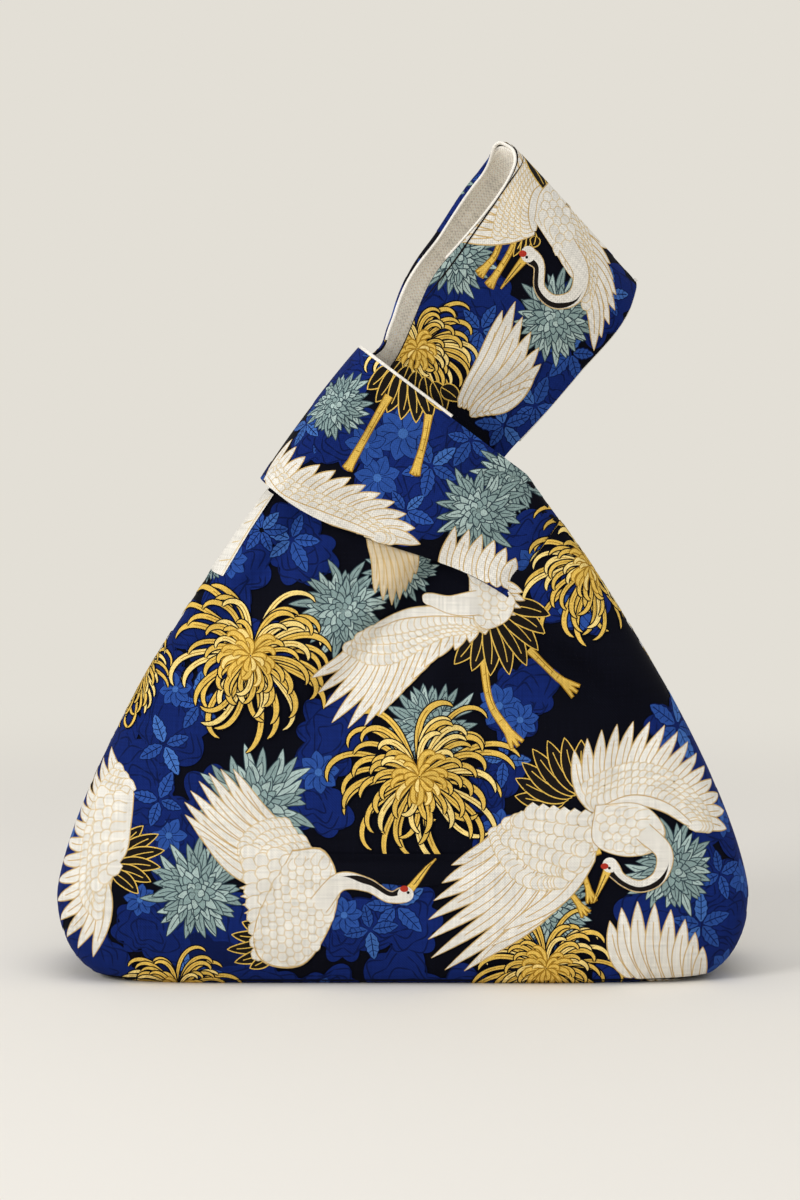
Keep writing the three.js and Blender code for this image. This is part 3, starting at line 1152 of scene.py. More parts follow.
class PrintDrawing:
    """Flat shapes of a cloth print in painter's order, in cloth millimetres."""

    lift: float = 0.25
    layer_lift: float = 0.0018
    floor_sink: float = 0.2
    chart_pitch: float = 0.25
    net: float = 4.0
    least_gap: float = 0.02
    least_facing: float = 2e-3
    body_pitch: float = 23.0
    body_scale: float = 3.9

    def __init__(self, seed: int, clip: Clip, turn: Callable[[Array], Array] | None = None) -> None:
        """Start an empty drawing.

        Args:
            seed: for the small unevenness of its shapes.
            clip: keeps cloth places on the sheet.
            turn: from drawing places to cloth places, where they differ.
        """
        self.rng = np.random.default_rng(seed)
        self.clip = clip
        self.turn = turn
        self.shapes: list[tuple[Array, tuple[float, ...]]] = []

    def reseed(self, seed: int) -> None:
        """Start the unevenness anew, so that a figure cut by a seam is alike on both pieces."""
        self.rng = np.random.default_rng(seed)

    def fill(self, outline: Array | Path, tint: Tint, jitter: float = 0.05) -> None:
        """Add one filled shape.

        Args:
            outline: its edge.
            tint: its colour.
            jitter: how uneven its tone may be.
        """
        tone = 1.0 + jitter * self.rng.uniform(-1.0, 1.0)
        shape = np.asarray(outline, float)
        if self.turn is not None:
            shape = self.turn(shape)
        self.shapes.append((shape, tuple(channel * tone for channel in linear(tint.value))))

    def rimmed(self, path: Array, half: Array, rim: float, edge: Tint, tint: Tint,
               jitter: float = 0.05) -> None:
        """Add a widened path in one colour with a rim of another."""
        self.fill(ribbon(path, half + rim), edge)
        self.fill(ribbon(path, half), tint, jitter)

    def line(self, points: Path, width: float, tint: Tint) -> None:
        """Add a drawn line of even width with narrowed ends.

        Args:
            points: places it runs through.
            width: its width.
            tint: its colour.
        """
        path = curve_through(points, max(6, 6 * len(points)))
        share = np.linspace(0.0, 1.0, len(path))
        half = width / 2 * (0.3 + 0.7 * np.clip(np.minimum(share, 1 - share) / 0.2, 0.0, 1.0))
        self.fill(ribbon(path, half), tint, 0.03)

    def petal(self, path: Array, width: float, kind: Feather, tints: tuple[Tint, Tint],
              rim: float, vein: float = 0.0) -> None:
        """Add a feather or petal along a path.

        Args:
            path: its middle line.
            width: its widest.
            kind: how it narrows.
            tints: its own colour and its outline's.
            rim: width of the outline.
            vein: width of a middle line, if it has one.
        """
        share = np.linspace(0.0, 1.0, len(path))
        half = width / 2 * kind.profile(share)
        longer = path + share[:, None] ** 4 * unit(path[-1] - path[-2]) * rim
        self.fill(ribbon(longer, half + rim * np.clip(1.2 - share ** 6, 0.3, 1.0)), tints[1], 0.04)
        self.fill(ribbon(path, np.maximum(half, 0.02)), tints[0], 0.045)
        if vein > 0:
            last = int(len(path) * 0.86)
            self.fill(ribbon(path[:last], np.full(last, vein / 2)), tints[1], 0.03)

    def fan(self, roots: Path, tips: Path, count: int, width: float,
            tints: tuple[Tint, Tint] = (Tint.WHITE, Tint.TAN), bow: float = 0.08,
            kind: Feather = Feather.POINTED, vein: float = 0.42) -> None:
        """Add a fan of long feathers.

        Args:
            roots: path on which they begin.
            tips: path on which they end.
            count: how many.
            width: of one feather.
            tints: their colour and their outline's.
            bow: how far each bows aside, as a share of its length.
            kind: how they narrow.
            vein: width of their middle lines.
        """
        for start, end in zip(curve_through(roots, count), curve_through(tips, count)):
            middle = (start + end) / 2 + left_of(end - start) * bow
            self.petal(curve_through([start, middle, end], 16), width, kind, tints, 0.5, vein)

    def scales(self, roots: Path, tips: Path, rows: Sequence[float], count: int,
               length: float, width: float) -> None:
        """Add rows of short rounded feathers between a root path and a tip path, far rows first.

        Args:
            roots: path along the wing's arm.
            tips: path along the feathers' ends.
            rows: how far out each row lies, as a share.
            count: feathers in the first row.
            length: of one feather.
            width: of one feather.
        """
        for order, share in enumerate(rows):
            number = max(3, int(round(count * (1.0 - 0.08 * order))))
            spots = np.minimum(np.arange(number) + 0.5 * (order % 2), number - 1.0)
            low = spots.astype(int)
            high = np.minimum(low + 1, number - 1)
            part = (spots - low)[:, None]
            starts, ends = (blend_between(path[low], path[high], part)
                            for path in (curve_through(roots, number), curve_through(tips, number)))
            for start, end in zip(starts, ends):
                foot = start + (end - start) * share
                path = foot + unit(end - start) * length * np.linspace(-0.45, 0.55, 9)[:, None]
                self.petal(path, width, Feather.ROUND, (Tint.WHITE, Tint.SAND), 0.42)

    def wing(self, roots: Path, tips: Path, count: int, width: float,
             rows: Sequence[float] = (0.38, 0.28, 0.19, 0.11), scale: float = 6.4, bow: float = 0.08) -> None:
        """Add a spread wing: long feathers, rows of short ones, and the arm along its root.

        Args:
            roots: path of the arm.
            tips: path of the long feathers' ends.
            count: how many long feathers.
            width: of one.
            rows: how far out each row of short ones lies.
            scale: length of a short one.
            bow: how far the long ones bow.
        """
        self.fan(roots, tips, count, width, bow=bow)
        self.scales(roots, tips, rows, int(count * 1.6), scale, width * 0.74)
        arm = curve_through(roots, 20)
        round_end = np.sin(math.pi * np.linspace(0.0, 1.0, 20)) ** 0.5
        self.fill(ribbon(arm, 1.5 * round_end + 0.9), Tint.TAN)
        self.fill(ribbon(arm, 1.3 * round_end + 0.6), Tint.WHITE)

    def plumage(self, outline: Path, rows: int, towards: Point) -> None:
        """Add a feathered body: a white shape with rows of short round feathers.

        Args:
            outline: the body's edge.
            rows: how close the rows lie.
            towards: the way the feathers point.
        """
        edge = curve_through([*outline, outline[0]], 60)
        middle = edge.mean(axis=0)
        self.fill(middle + (edge - middle) * 1.03, Tint.TAN)
        self.fill(edge, Tint.WHITE, 0.02)
        way = unit(np.array(towards))
        ways = np.stack([way, left_of(way)])
        local = (edge - middle) @ ways.T
        (back, right), (front, left) = local.min(axis=0), local.max(axis=0)
        pitch = self.body_pitch / rows
        for order, along in enumerate(np.arange(front, back, -pitch)):
            for across in np.arange(right, left, self.body_scale) + self.body_scale / 2 * (order % 2):
                spots = np.array([(along - 1.7 * pitch, across), (along, across)])
                spots = spots + self.rng.uniform(-0.45, 0.45, (2, 2))
                if all(self._inside(local, spot) for spot in spots):
                    path = curve_through(middle + spots @ ways, 8)
                    self.petal(path, 4.2, Feather.ROUND, (Tint.WHITE, Tint.SAND), 0.36)

    @staticmethod
    def _inside(edge: Array, spot: Array) -> bool:
        """Whether a spot is inside an outline.

        Args:
            edge: the outline.
            spot: the spot.

        Returns:
            Whether it is.
        """
        after = np.roll(edge, -1, axis=0)
        over = (edge[:, 1] > spot[1]) != (after[:, 1] > spot[1])
        rise = np.where(after[:, 1] == edge[:, 1], 1.0, after[:, 1] - edge[:, 1])
        meet = edge[:, 0] + (spot[1] - edge[:, 1]) * (after[:, 0] - edge[:, 0]) / rise
        return bool(np.sum(over & (meet > spot[0])) % 2)

    def tail(self, roots: Path, tips: Path, count: int, width: float) -> None:
        """Add a fan of black feathers with gold edges."""
        self.fan(roots, tips, count, width, (Tint.BLACK, Tint.GOLD), 0.05, Feather.OVAL, 0.4)

    def neck(self, points: Path, width: float, beak: Point | None) -> None:
        """Add a crane's neck and, where it has a beak, the head at the path's end.

        Args:
            points: path from the breast to the head.
            width: of the neck.
            beak: the beak's tip.
        """
        path = curve_through(points, 40)
        share = np.linspace(0.0, 1.0, 40)
        half = width / 2 * (1.25 - 0.55 * smooth(share, 0.0, 0.8) + 0.25 * smooth(share, 0.86, 0.96))
        if beak is None:
            half = half * np.sqrt(1.0 - share ** 8) + 0.05
        self.rimmed(path, half, 0.4, Tint.TAN, Tint.WHITE, 0.02)
        if beak is None:
            return
        stripe = path + left_of(unit(np.gradient(path, axis=0))) * (half * 0.55)[:, None]
        self.fill(ribbon(stripe[13:], half[13:] * 0.42 * smooth(share[13:], 0.34, 0.54)), Tint.BLACK)
        head = path[-1]
        way = unit(np.array(beak) - head)
        bill = curve_through([head + way * width * 0.3, beak], 12)
        self.rimmed(bill, np.linspace(width * 0.26, 0.1, 12), 0.3, Tint.GOLD_DEEP, Tint.GOLD)
        self.fill(ribbon(bill[2:10], np.full(8, 0.16)), Tint.BLACK)
        disc = circle(np.linspace(0.0, math.tau, 16)) * width
        self.fill(head + disc * 0.52, Tint.WHITE, 0.02)
        side = left_of(way)
        side = -side if side[1] < 0 else side
        self.fill(head + (side * 0.3 + way * 0.22) * width + disc * np.array([0.27, 0.21]), Tint.RED)
        self.fill(head + (way * 0.2 - side * 0.05) * width + disc * 0.1, Tint.BLACK)

    def leg(self, points: Path, width: float, toes: float) -> None:
        """Add a gold leg with spread toes at its end and fine drawn lines.

        Args:
            points: path from the body to the foot.
            width: of the leg.
            toes: their length.
        """
        path = curve_through(points, 20)
        half = width / 2 * (1.0 - 0.28 * np.sin(math.pi * np.linspace(0.0, 1.0, 20)))
        way = unit(path[-1] - path[-3])
        aside = left_of(way)
        for grow, tint in ((0.45, Tint.GOLD_DEEP), (0.0, Tint.GOLD)):
            self.fill(ribbon(path, half + grow), tint)
            for turn in (-0.4, 0.0, 0.4):
                end = path[-1] + (way * math.cos(turn) + aside * math.sin(turn)) * (toes + grow)
                toe = curve_through([path[-1] - way, end], 8)
                self.fill(ribbon(toe, np.linspace(width * 0.42, width * 0.13, 8) + grow), tint)
        self.line(path[2:17:3] + aside * width * 0.16, 0.42, Tint.GOLD_DEEP)
        for step in (5, 9, 13, 16):
            across = aside * half[step] * 0.8
            self.line([path[step] - across, path[step] + across], 0.36, Tint.GOLD_DEEP)

    def gold_mum(self, centre: Point, radius: float, curl: float = 1.0, lean: float = 0.0) -> None:
        """Add a gold flower whose long petals arch over and hang round a dense heart.

        Args:
            centre: its heart.
            radius: reach of the longest petals.
            curl: how far the petals' ends hook round.
            lean: turn of the hanging way from straight down.
        """
        heart = np.asarray(centre, float)
        hanging = lean - math.pi / 2
        rings = ((1.0, 19, 1.95), (0.84, 17, 1.95), (0.66, 16, 1.9), (0.49, 14, 1.8), (0.33, 12, 1.6),
                 (0.19, 8, 1.4))
        share = np.linspace(0.0, 1.0, 24)
        shape = (0.3 + 0.7 * smooth(share, 0.05, 0.5)) * (1.0 - 0.3 * smooth(share, 0.75, 1.0))
        shape = shape * np.sqrt(np.clip(1.0 - share ** 12, 0.0, 1.0))
        for ring, (reach, count, width) in enumerate(rings):
            for number in range(count):
                turn = math.tau * (number + 0.5 * ring) / count + self.rng.uniform(-0.13, 0.13)
                off = (turn - hanging + math.pi) % math.tau - math.pi
                length = radius * reach * self.rng.uniform(0.8, 1.08) * (1.0 + 0.14 * abs(off) / math.pi)
                side = -1.0 if off + self.rng.uniform(-0.7, 0.7) > 0 else 1.0
                hook = curl * self.rng.uniform(0.9, 1.9)
                heading = turn - off * 0.3 * share ** 2 + side * hook * share ** 4
                path = heart + np.cumsum(circle(heading) * length * 1.04 / 23, axis=0)
                half = shape * width * radius / 72.0 * self.rng.uniform(0.85, 1.15) + 0.04
                tone = Tint.GOLD_PALE if self.rng.uniform() < 0.25 else Tint.GOLD
                self.fill(ribbon(path, half + 0.52), Tint.NAVY if ring < 4 else Tint.GOLD_DEEP, 0.0)
                self.fill(ribbon(path, half), tone, 0.06)
                if ring < 4:
                    self.fill(ribbon(path[3:17], half[3:17] * 0.16), Tint.GOLD_DEEP, 0.0)

    def grey_mum(self, centre: Point, radius: float) -> None:
        """Add a grey-green flower of pointed petals in close rings.

        Args:
            centre: its heart.
            radius: reach of its petals.
        """
        heart = np.asarray(centre, float)
        rings = ((1.0, 21), (0.82, 20), (0.64, 17), (0.48, 14), (0.34, 11), (0.2, 7))
        self.disc(heart, 0.2 * radius, Tint.GREY)
        for ring, (reach, count) in enumerate(rings):
            for number in range(count):
                turn = math.tau * (number + 0.5 * (ring % 2)) / count + self.rng.uniform(-0.06, 0.06)
                length = radius * reach * self.rng.uniform(0.78, 1.12)
                way = circle(turn) * length
                bent = way * 0.65 + left_of(way) * self.rng.uniform(-0.08, 0.08)
                path = curve_through([heart + way * 0.25, heart + bent, heart + way], 11)
                wide = radius * reach * math.tau / count * (0.56 + 0.05 * ring)
                tone = (Tint.GREY, Tint.GREY, Tint.GREY_PALE)[int(self.rng.integers(3))]
                vein = 0.3 if ring < 3 else 0.0
                self.petal(path, wide, Feather.OVAL, (tone, Tint.GREY_DEEP), 0.42, vein)

    def disc(self, heart: Array, radius: float, tint: Tint) -> None:
        """Add a small disc."""
        self.fill(heart + radius * circle(np.linspace(0.0, math.tau, 12, endpoint=False)), tint)

    def cloud(self, centre: Point, radius: float, tint: Tint = Tint.ROYAL) -> None:
        """Add a scalloped mass of leaves in flat colour, with drawn lines in it.

        Args:
            centre: its middle.
            radius: about how far it reaches.
            tint: its colour.
        """
        turn = np.linspace(0.0, math.tau, 120, endpoint=False)
        lobes = int(self.rng.integers(6, 10))
        phase = self.rng.uniform(0.0, math.tau)
        sway = 0.2 * np.sin(turn * 2 + phase) + 0.12 * np.sin(turn * 3 - phase)
        reach = radius * (0.8 + 0.26 * np.abs(np.sin(turn * lobes / 2 + phase)) + sway)
        heart = np.asarray(centre, float)
        edge = reach[:, None] * circle(turn)
        self.fill(heart + edge, tint, 0.12)
        for shrink, gap in ((0.84, 13), (0.66, 17), (0.48, 22), (0.3, 30)):
            for start in range(int(self.rng.integers(0, 12)), 108, gap):
                first, middle, last = (edge[min(start + step, 119)] for step in (0, gap // 2, gap))
                arch = np.stack([first * shrink, middle * (shrink + 0.14), last * shrink])
                self.line(heart + arch, 0.7, Tint.ROYAL_DEEP)

    def leaf(self, start: Array, end: Array, width: float, tint: Tint) -> None:
        """Add a notched leaf with its veins.

        Args:
            start: its stalk.
            end: its tip.
            width: its widest.
            tint: its colour.
        """
        path = curve_through([start, end], 40)
        share = np.linspace(0.0, 1.0, 40)
        notch = 1.0 - 0.16 * np.abs(np.sin(share * math.pi * 4.5))
        half = width / 2 * np.sin(math.pi * share ** 0.85) ** 0.8 * notch
        self.fill(ribbon(path, half + 0.5), Tint.ROYAL_DEEP, 0.02)
        self.fill(ribbon(path, half + 0.02), tint, 0.12)
        self.fill(ribbon(path[2:36], np.full(34, 0.22)), Tint.ROYAL_DEEP, 0.02)
        ahead = path[-1] - path[0]
        aside = left_of(unit(ahead))
        for step in (9, 17, 25):
            for sign in (-1.0, 1.0):
                tip = path[step] + ahead * 0.1 + aside * sign * half[step] * 0.8
                self.line([path[step], tip], 0.3, Tint.ROYAL_DEEP)

    def spray(self, centre: Point, size: float, count: int = 5) -> None:
        """Add a spray of leaves round a point.

        Args:
            centre: where their stalks meet.
            size: about the length of a leaf.
            count: how many.
        """
        spin = self.rng.uniform(0.0, math.tau)
        for number in range(count):
            way = circle(spin + math.tau * number / count + self.rng.uniform(-0.2, 0.2))
            length = size * self.rng.uniform(0.8, 1.1)
            start = np.asarray(centre) + way * size * 0.1
            tint = Tint.LEAF if self.rng.uniform() < 0.7 else Tint.LEAF_PALE
            self.leaf(start, start + way * length, length * 0.5, tint)

    def star(self, centre: Point, size: float, petals: int = 8) -> None:
        """Add a small blue flower of round petals.

        Args:
            centre: its heart.
            size: its radius.
            petals: how many.
        """
        spin = self.rng.uniform(0.0, math.tau)
        heart = np.asarray(centre, float)
        for number in range(petals):
            way = circle(spin + math.tau * number / petals) * size
            path = curve_through([heart + way * 0.15, heart + way], 9)
            self.petal(path, size * 0.62, Feather.OVAL, (Tint.LEAF, Tint.ROYAL_DEEP), 0.3, 0.25)
        self.disc(heart, size * 0.18, Tint.LEAF_PALE)

    def scatter(self, low: Point, high: Point, pitch: float) -> None:
        """Cover a field with leaf masses, sprays and small blue flowers.

        Args:
            low: its lower left corner.
            high: its upper right corner.
            pitch: from one figure to the next.
        """
        across = np.arange(low[0], high[0] + pitch, pitch)
        upward = np.arange(low[1], high[1] + pitch, pitch)
        spots = [(x + 0.5 * pitch * (row % 2), z) for row, z in enumerate(upward) for x in across]
        moved = [(x + self.rng.uniform(-0.3, 0.3) * pitch, z + self.rng.uniform(-0.3, 0.3) * pitch)
                 for x, z in spots]
        for spot in moved:
            if self.rng.uniform() < 0.8:
                self.cloud(spot, pitch * self.rng.uniform(0.4, 0.62),
                           Tint.ROYAL if self.rng.uniform() < 0.75 else Tint.ROYAL_DEEP)
        for spot in moved:
            draw = self.rng.uniform()
            if draw < 0.34:
                self.spray(spot, pitch * self.rng.uniform(0.3, 0.42), int(self.rng.integers(3, 6)))
            elif draw < 0.6:
                self.star(spot, pitch * self.rng.uniform(0.2, 0.3), int(self.rng.integers(6, 9)))

    def _cover(self, outline: Array, origin: Array) -> tuple[slice, slice, Array]:
        """Which squares of the fine chart have their middle in a shape.

        Args:
            outline: the shape.
            origin: corner of the chart.

        Returns:
            The chart's rows and columns round the shape, and the covered squares among them.
        """
        start = (outline - origin) / self.chart_pitch
        span = np.roll(start, -1, axis=0) - start
        left, low = np.floor(start.min(axis=0)).astype(int)
        right, high = np.ceil(start.max(axis=0)).astype(int) + 1
        bottoms = np.minimum(start[:, 1], start[:, 1] + span[:, 1])
        first = np.ceil(bottoms - 0.5).astype(int)
        count = np.ceil(bottoms + np.abs(span[:, 1]) - 0.5).astype(int) - first
        # Each edge marks, on every row it crosses, the first square right of the crossing.
        edge = np.repeat(np.arange(len(start)), count)
        row = np.arange(len(edge)) - np.repeat(np.cumsum(count) - count, count) + first[edge]
        part = (row + 0.5 - start[edge, 1]) / np.where(span[edge, 1] == 0.0, 1.0, span[edge, 1])
        column = np.ceil(start[edge, 0] + part * span[edge, 0] - 0.5).astype(int)
        marks = np.zeros((high - low, right - left + 1), np.int32)
        np.add.at(marks, (row - low, np.clip(column - left, 0, right - left)), 1)
        return slice(low, high), slice(left, right), np.cumsum(marks, axis=1)[:, :-1] % 2 == 1

    def _chart(self, origin: Array) -> tuple[Array, Array]:
        """Paint the shapes into a fine chart.

        Args:
            origin: corner of the chart.

        Returns:
            Painter's level of each shape, and the highest level at each square.
        """
        ends = np.max([outline.max(axis=0) for outline, _ in self.shapes], axis=0)
        size = np.ceil((ends - origin) / self.chart_pitch).astype(int) + 4
        top = np.zeros((size[1], size[0]), np.int32)
        levels = np.zeros(len(self.shapes), np.int32)
        for number, (outline, _) in enumerate(self.shapes):
            rows, columns, covered = self._cover(outline, origin)
            region = top[rows, columns]
            levels[number] = (region[covered] if covered.any() else region).max() + 1
            region[covered] = levels[number]
        return levels, top

    def _net(self, low: Array, high: Array) -> tuple[list[Vector], list[tuple[int, int]]]:
        """Lines of the facet net over a box: upright, level and diagonal.

        Args:
            low: the box's lower left corner.
            high: its upper right corner.

        Returns:
            The lines' ends, and the two ends of each line.
        """
        left, bottom = np.floor(low / self.net).astype(int)
        right, top = np.ceil(high / self.net).astype(int)
        ends = [((column, bottom), (column, top)) for column in range(left, right + 1)]
        ends += [((left, row), (right, row)) for row in range(bottom, top + 1)]
        for shift in range(left - top + 1, right - bottom):
            start, stop = max(bottom, left - shift), min(top, right - shift)
            ends.append(((start + shift, start), (stop + shift, stop)))
        points = [Vector((x * self.net, y * self.net)) for pair in ends for x, y in pair]
        return points, [(2 * number, 2 * number + 1) for number in range(len(ends))]

    def _triangles(self, outline: Array) -> tuple[Array, Array]:
        """Cut one shape along the facet net.

        Args:
            outline: the shape.

        Returns:
            Points, and triangles as rows of point numbers.
        """
        gaps = np.linalg.norm(outline - np.roll(outline, 1, axis=0), axis=1)
        points = outline[gaps > self.least_gap]
        count = len(points)
        if count < 3:
            return np.zeros((0, 2)), np.zeros((0, 3), int)
        after = np.roll(points, -1, axis=0)
        if np.sum(points[:, 0] * after[:, 1] - points[:, 1] * after[:, 0]) <= 0:
            points = points[::-1]
        knots, lines = self._net(points.min(axis=0), points.max(axis=0))
        found, _, faces, _, _, owners = delaunay_2d_cdt(
            [Vector(place) for place in points] + knots,
            [(start + count, end + count) for start, end in lines], [list(range(count))], 1, 1e-6)
        kept = [face for face, owner in zip(faces, owners) if owner and len(face) == 3]
        return np.array([tuple(place) for place in found]), np.array(kept, int).reshape(-1, 3)

    def _on_facets(self, surface: ClothSurface, u: Array, v: Array, height: Array) -> tuple[Array, Array]:
        """Points and normals over the flat facets of a net laid on a cloth face.

        Args:
            surface: the cloth face.
            u: places across the cloth.
            v: places up the cloth.
            height: how far over the facets.

        Returns:
            Points and unit normals, as rows.
        """
        u, v = u / self.net, v / self.net
        left, bottom = int(np.floor(u.min())), int(np.floor(v.min()))
        right, top = int(np.ceil(u.max())) + 1, int(np.ceil(v.max())) + 1
        across, upward = np.meshgrid(np.arange(left, right + 1), np.arange(bottom, top + 1))
        corners, ways = surface.points(across.ravel() * self.net, upward.ravel() * self.net)
        wide = right - left + 1
        column = np.clip(np.floor(u).astype(int), left, right - 1)
        row = np.clip(np.floor(v).astype(int), bottom, top - 1)
        part_u, part_v = u - column, v - row
        base = (row - bottom) * wide + column - left
        # Each square of the net is two triangles that share its rising diagonal.
        middle = np.where(part_u >= part_v, base + 1, base + wide)
        more, less = np.maximum(part_u, part_v), np.minimum(part_u, part_v)
        shares = ((base, 1 - more), (middle, more - less), (base + wide + 1, less))
        points, normals = (sum(share[:, None] * table[index] for index, share in shares)
                           for table in (corners, ways))
        return points + normals * height[:, None], unit(normals)

    def _shown(self) -> tuple[Array, Array, Array, Array]:
        """Cut up the shapes and leave out what later shapes cover.

        Returns:
            Cloth places, their heights and colours, and triangles as rows of point numbers.
        """
        origin = np.min([outline.min(axis=0) for outline, _ in self.shapes], axis=0) - 2 * self.chart_pitch
        levels, top = self._chart(origin)
        nearby = ((0, 0), (0, 1), (0, -1), (1, 0), (-1, 0))
        lowest = np.min([np.roll(top, shift, (0, 1)) for shift in nearby], axis=0)
        # Spots spread over a triangle, as shares of its corners.
        corners = np.array(((1, 1, 1), (2.4, 0.3, 0.3), (0.3, 2.4, 0.3), (0.3, 0.3, 2.4),
                            (1.4, 1.4, 0.2), (1.4, 0.2, 1.4), (0.2, 1.4, 1.4))) / 3.0
        places, heights, colours, faces = [], [], [], []
        count = 0
        for (outline, colour), level in zip(self.shapes, levels):
            rows, columns, covered = self._cover(outline, origin)
            if covered.any() and not (top[rows, columns][covered] <= level).any():
                continue
            flat, triangles = self._triangles(outline)
            if not len(triangles):
                continue
            spots = np.einsum("sk,tkd->tsd", corners, flat[triangles])
            chart = np.floor((spots - origin) / self.chart_pitch).astype(int)
            chart = np.clip(chart, 0, np.array(top.shape[::-1]) - 1)
            shown = (lowest[chart[..., 1], chart[..., 0]] <= level).any(axis=1)
            if not shown.any():
                continue
            places.append(flat)
            heights.append(np.full(len(flat), self.lift + self.layer_lift * level))
            colours.append(np.tile((*colour, 1.0), (len(flat), 1)))
            faces.append(triangles[shown] + count)
            count += len(flat)
        return np.vstack(places), np.concatenate(heights), np.vstack(colours), np.vstack(faces)

    def piece(self, name: str, surface: ClothSurface, finish: Material) -> Piece:
        """Lay the drawing on a cloth face.

        Args:
            name: the piece's name.
            surface: the face that it is printed on.
            finish: its material, which reads the colour attribute.

        Returns:
            The print as one mesh just over the cloth.
        """
        flat, heights, colours, triangles = self._shown()
        u, v = self.clip(flat[:, 0], flat[:, 1])
        points, normals = self._on_facets(surface, u, v, heights)
        points[:, 2] = np.maximum(points[:, 2], -self.floor_sink)
        first, second, third = (points[triangles[:, corner]] for corner in range(3))
        way = np.cross(second - first, third - first)
        facing = np.einsum("ij,ij->i", way, normals[triangles[:, 0]])
        used, index = np.unique(triangles[facing > self.least_facing], return_inverse=True)
        made = mapped_piece(name, points[used], index.reshape(-1, 3).tolist(), u[used], v[used], finish)
        shade = made.data.color_attributes.new(PRINT_COLOUR, "FLOAT_COLOR", "POINT")
        shade.data.foreach_set("color", colours[used].astype(np.float32).ravel())
        made.data.normals_split_custom_set_from_vertices(normals[used].tolist())
        return made


class Hold(Enum):
    """How a sheet is held."""

    STRETCHED = "stretched"
    FOLDED = "folded"


class Slot(Enum):
    """Names of the finishes."""

    PRINTED = "printed_cloth"
    INTERLINING = "interlining"
    LINEN = "linen_lining"
    EDGING = "white_edging"


def frame_point(run: float, rise: float) -> tuple[float, float, float]:
    """A point of the band's middle plane, in metres."""
    x, z = SHAPE.from_band(run, rise)
    return (float(x) * MM, 0.0, float(z) * MM)


@dataclass
class SubAssembly:
    """A part of the bag, with the finishes it wears and the pieces made for it."""

    finishes: Finishes | None = None
    pieces: list[Piece] = field(default_factory=list)

    def ride(self, piece: Piece, slot: Slot) -> None:
        """Keep a piece that stays with the bag.

        Args:
            piece: the piece.
            slot: not used.
        """
        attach(piece, "bag")
        self.pieces.append(piece)

    def bend(self, piece: Piece, slot: Slot, body: str, start: Sequence[float],
             end: Sequence[float]) -> None:
        """Keep a piece, with its place baked into its mesh.

        Args:
            piece: the piece.
            slot: not used.
            body: not used.
            start: not used.
            end: not used.
        """
        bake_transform(piece)
        self.pieces.append(piece)


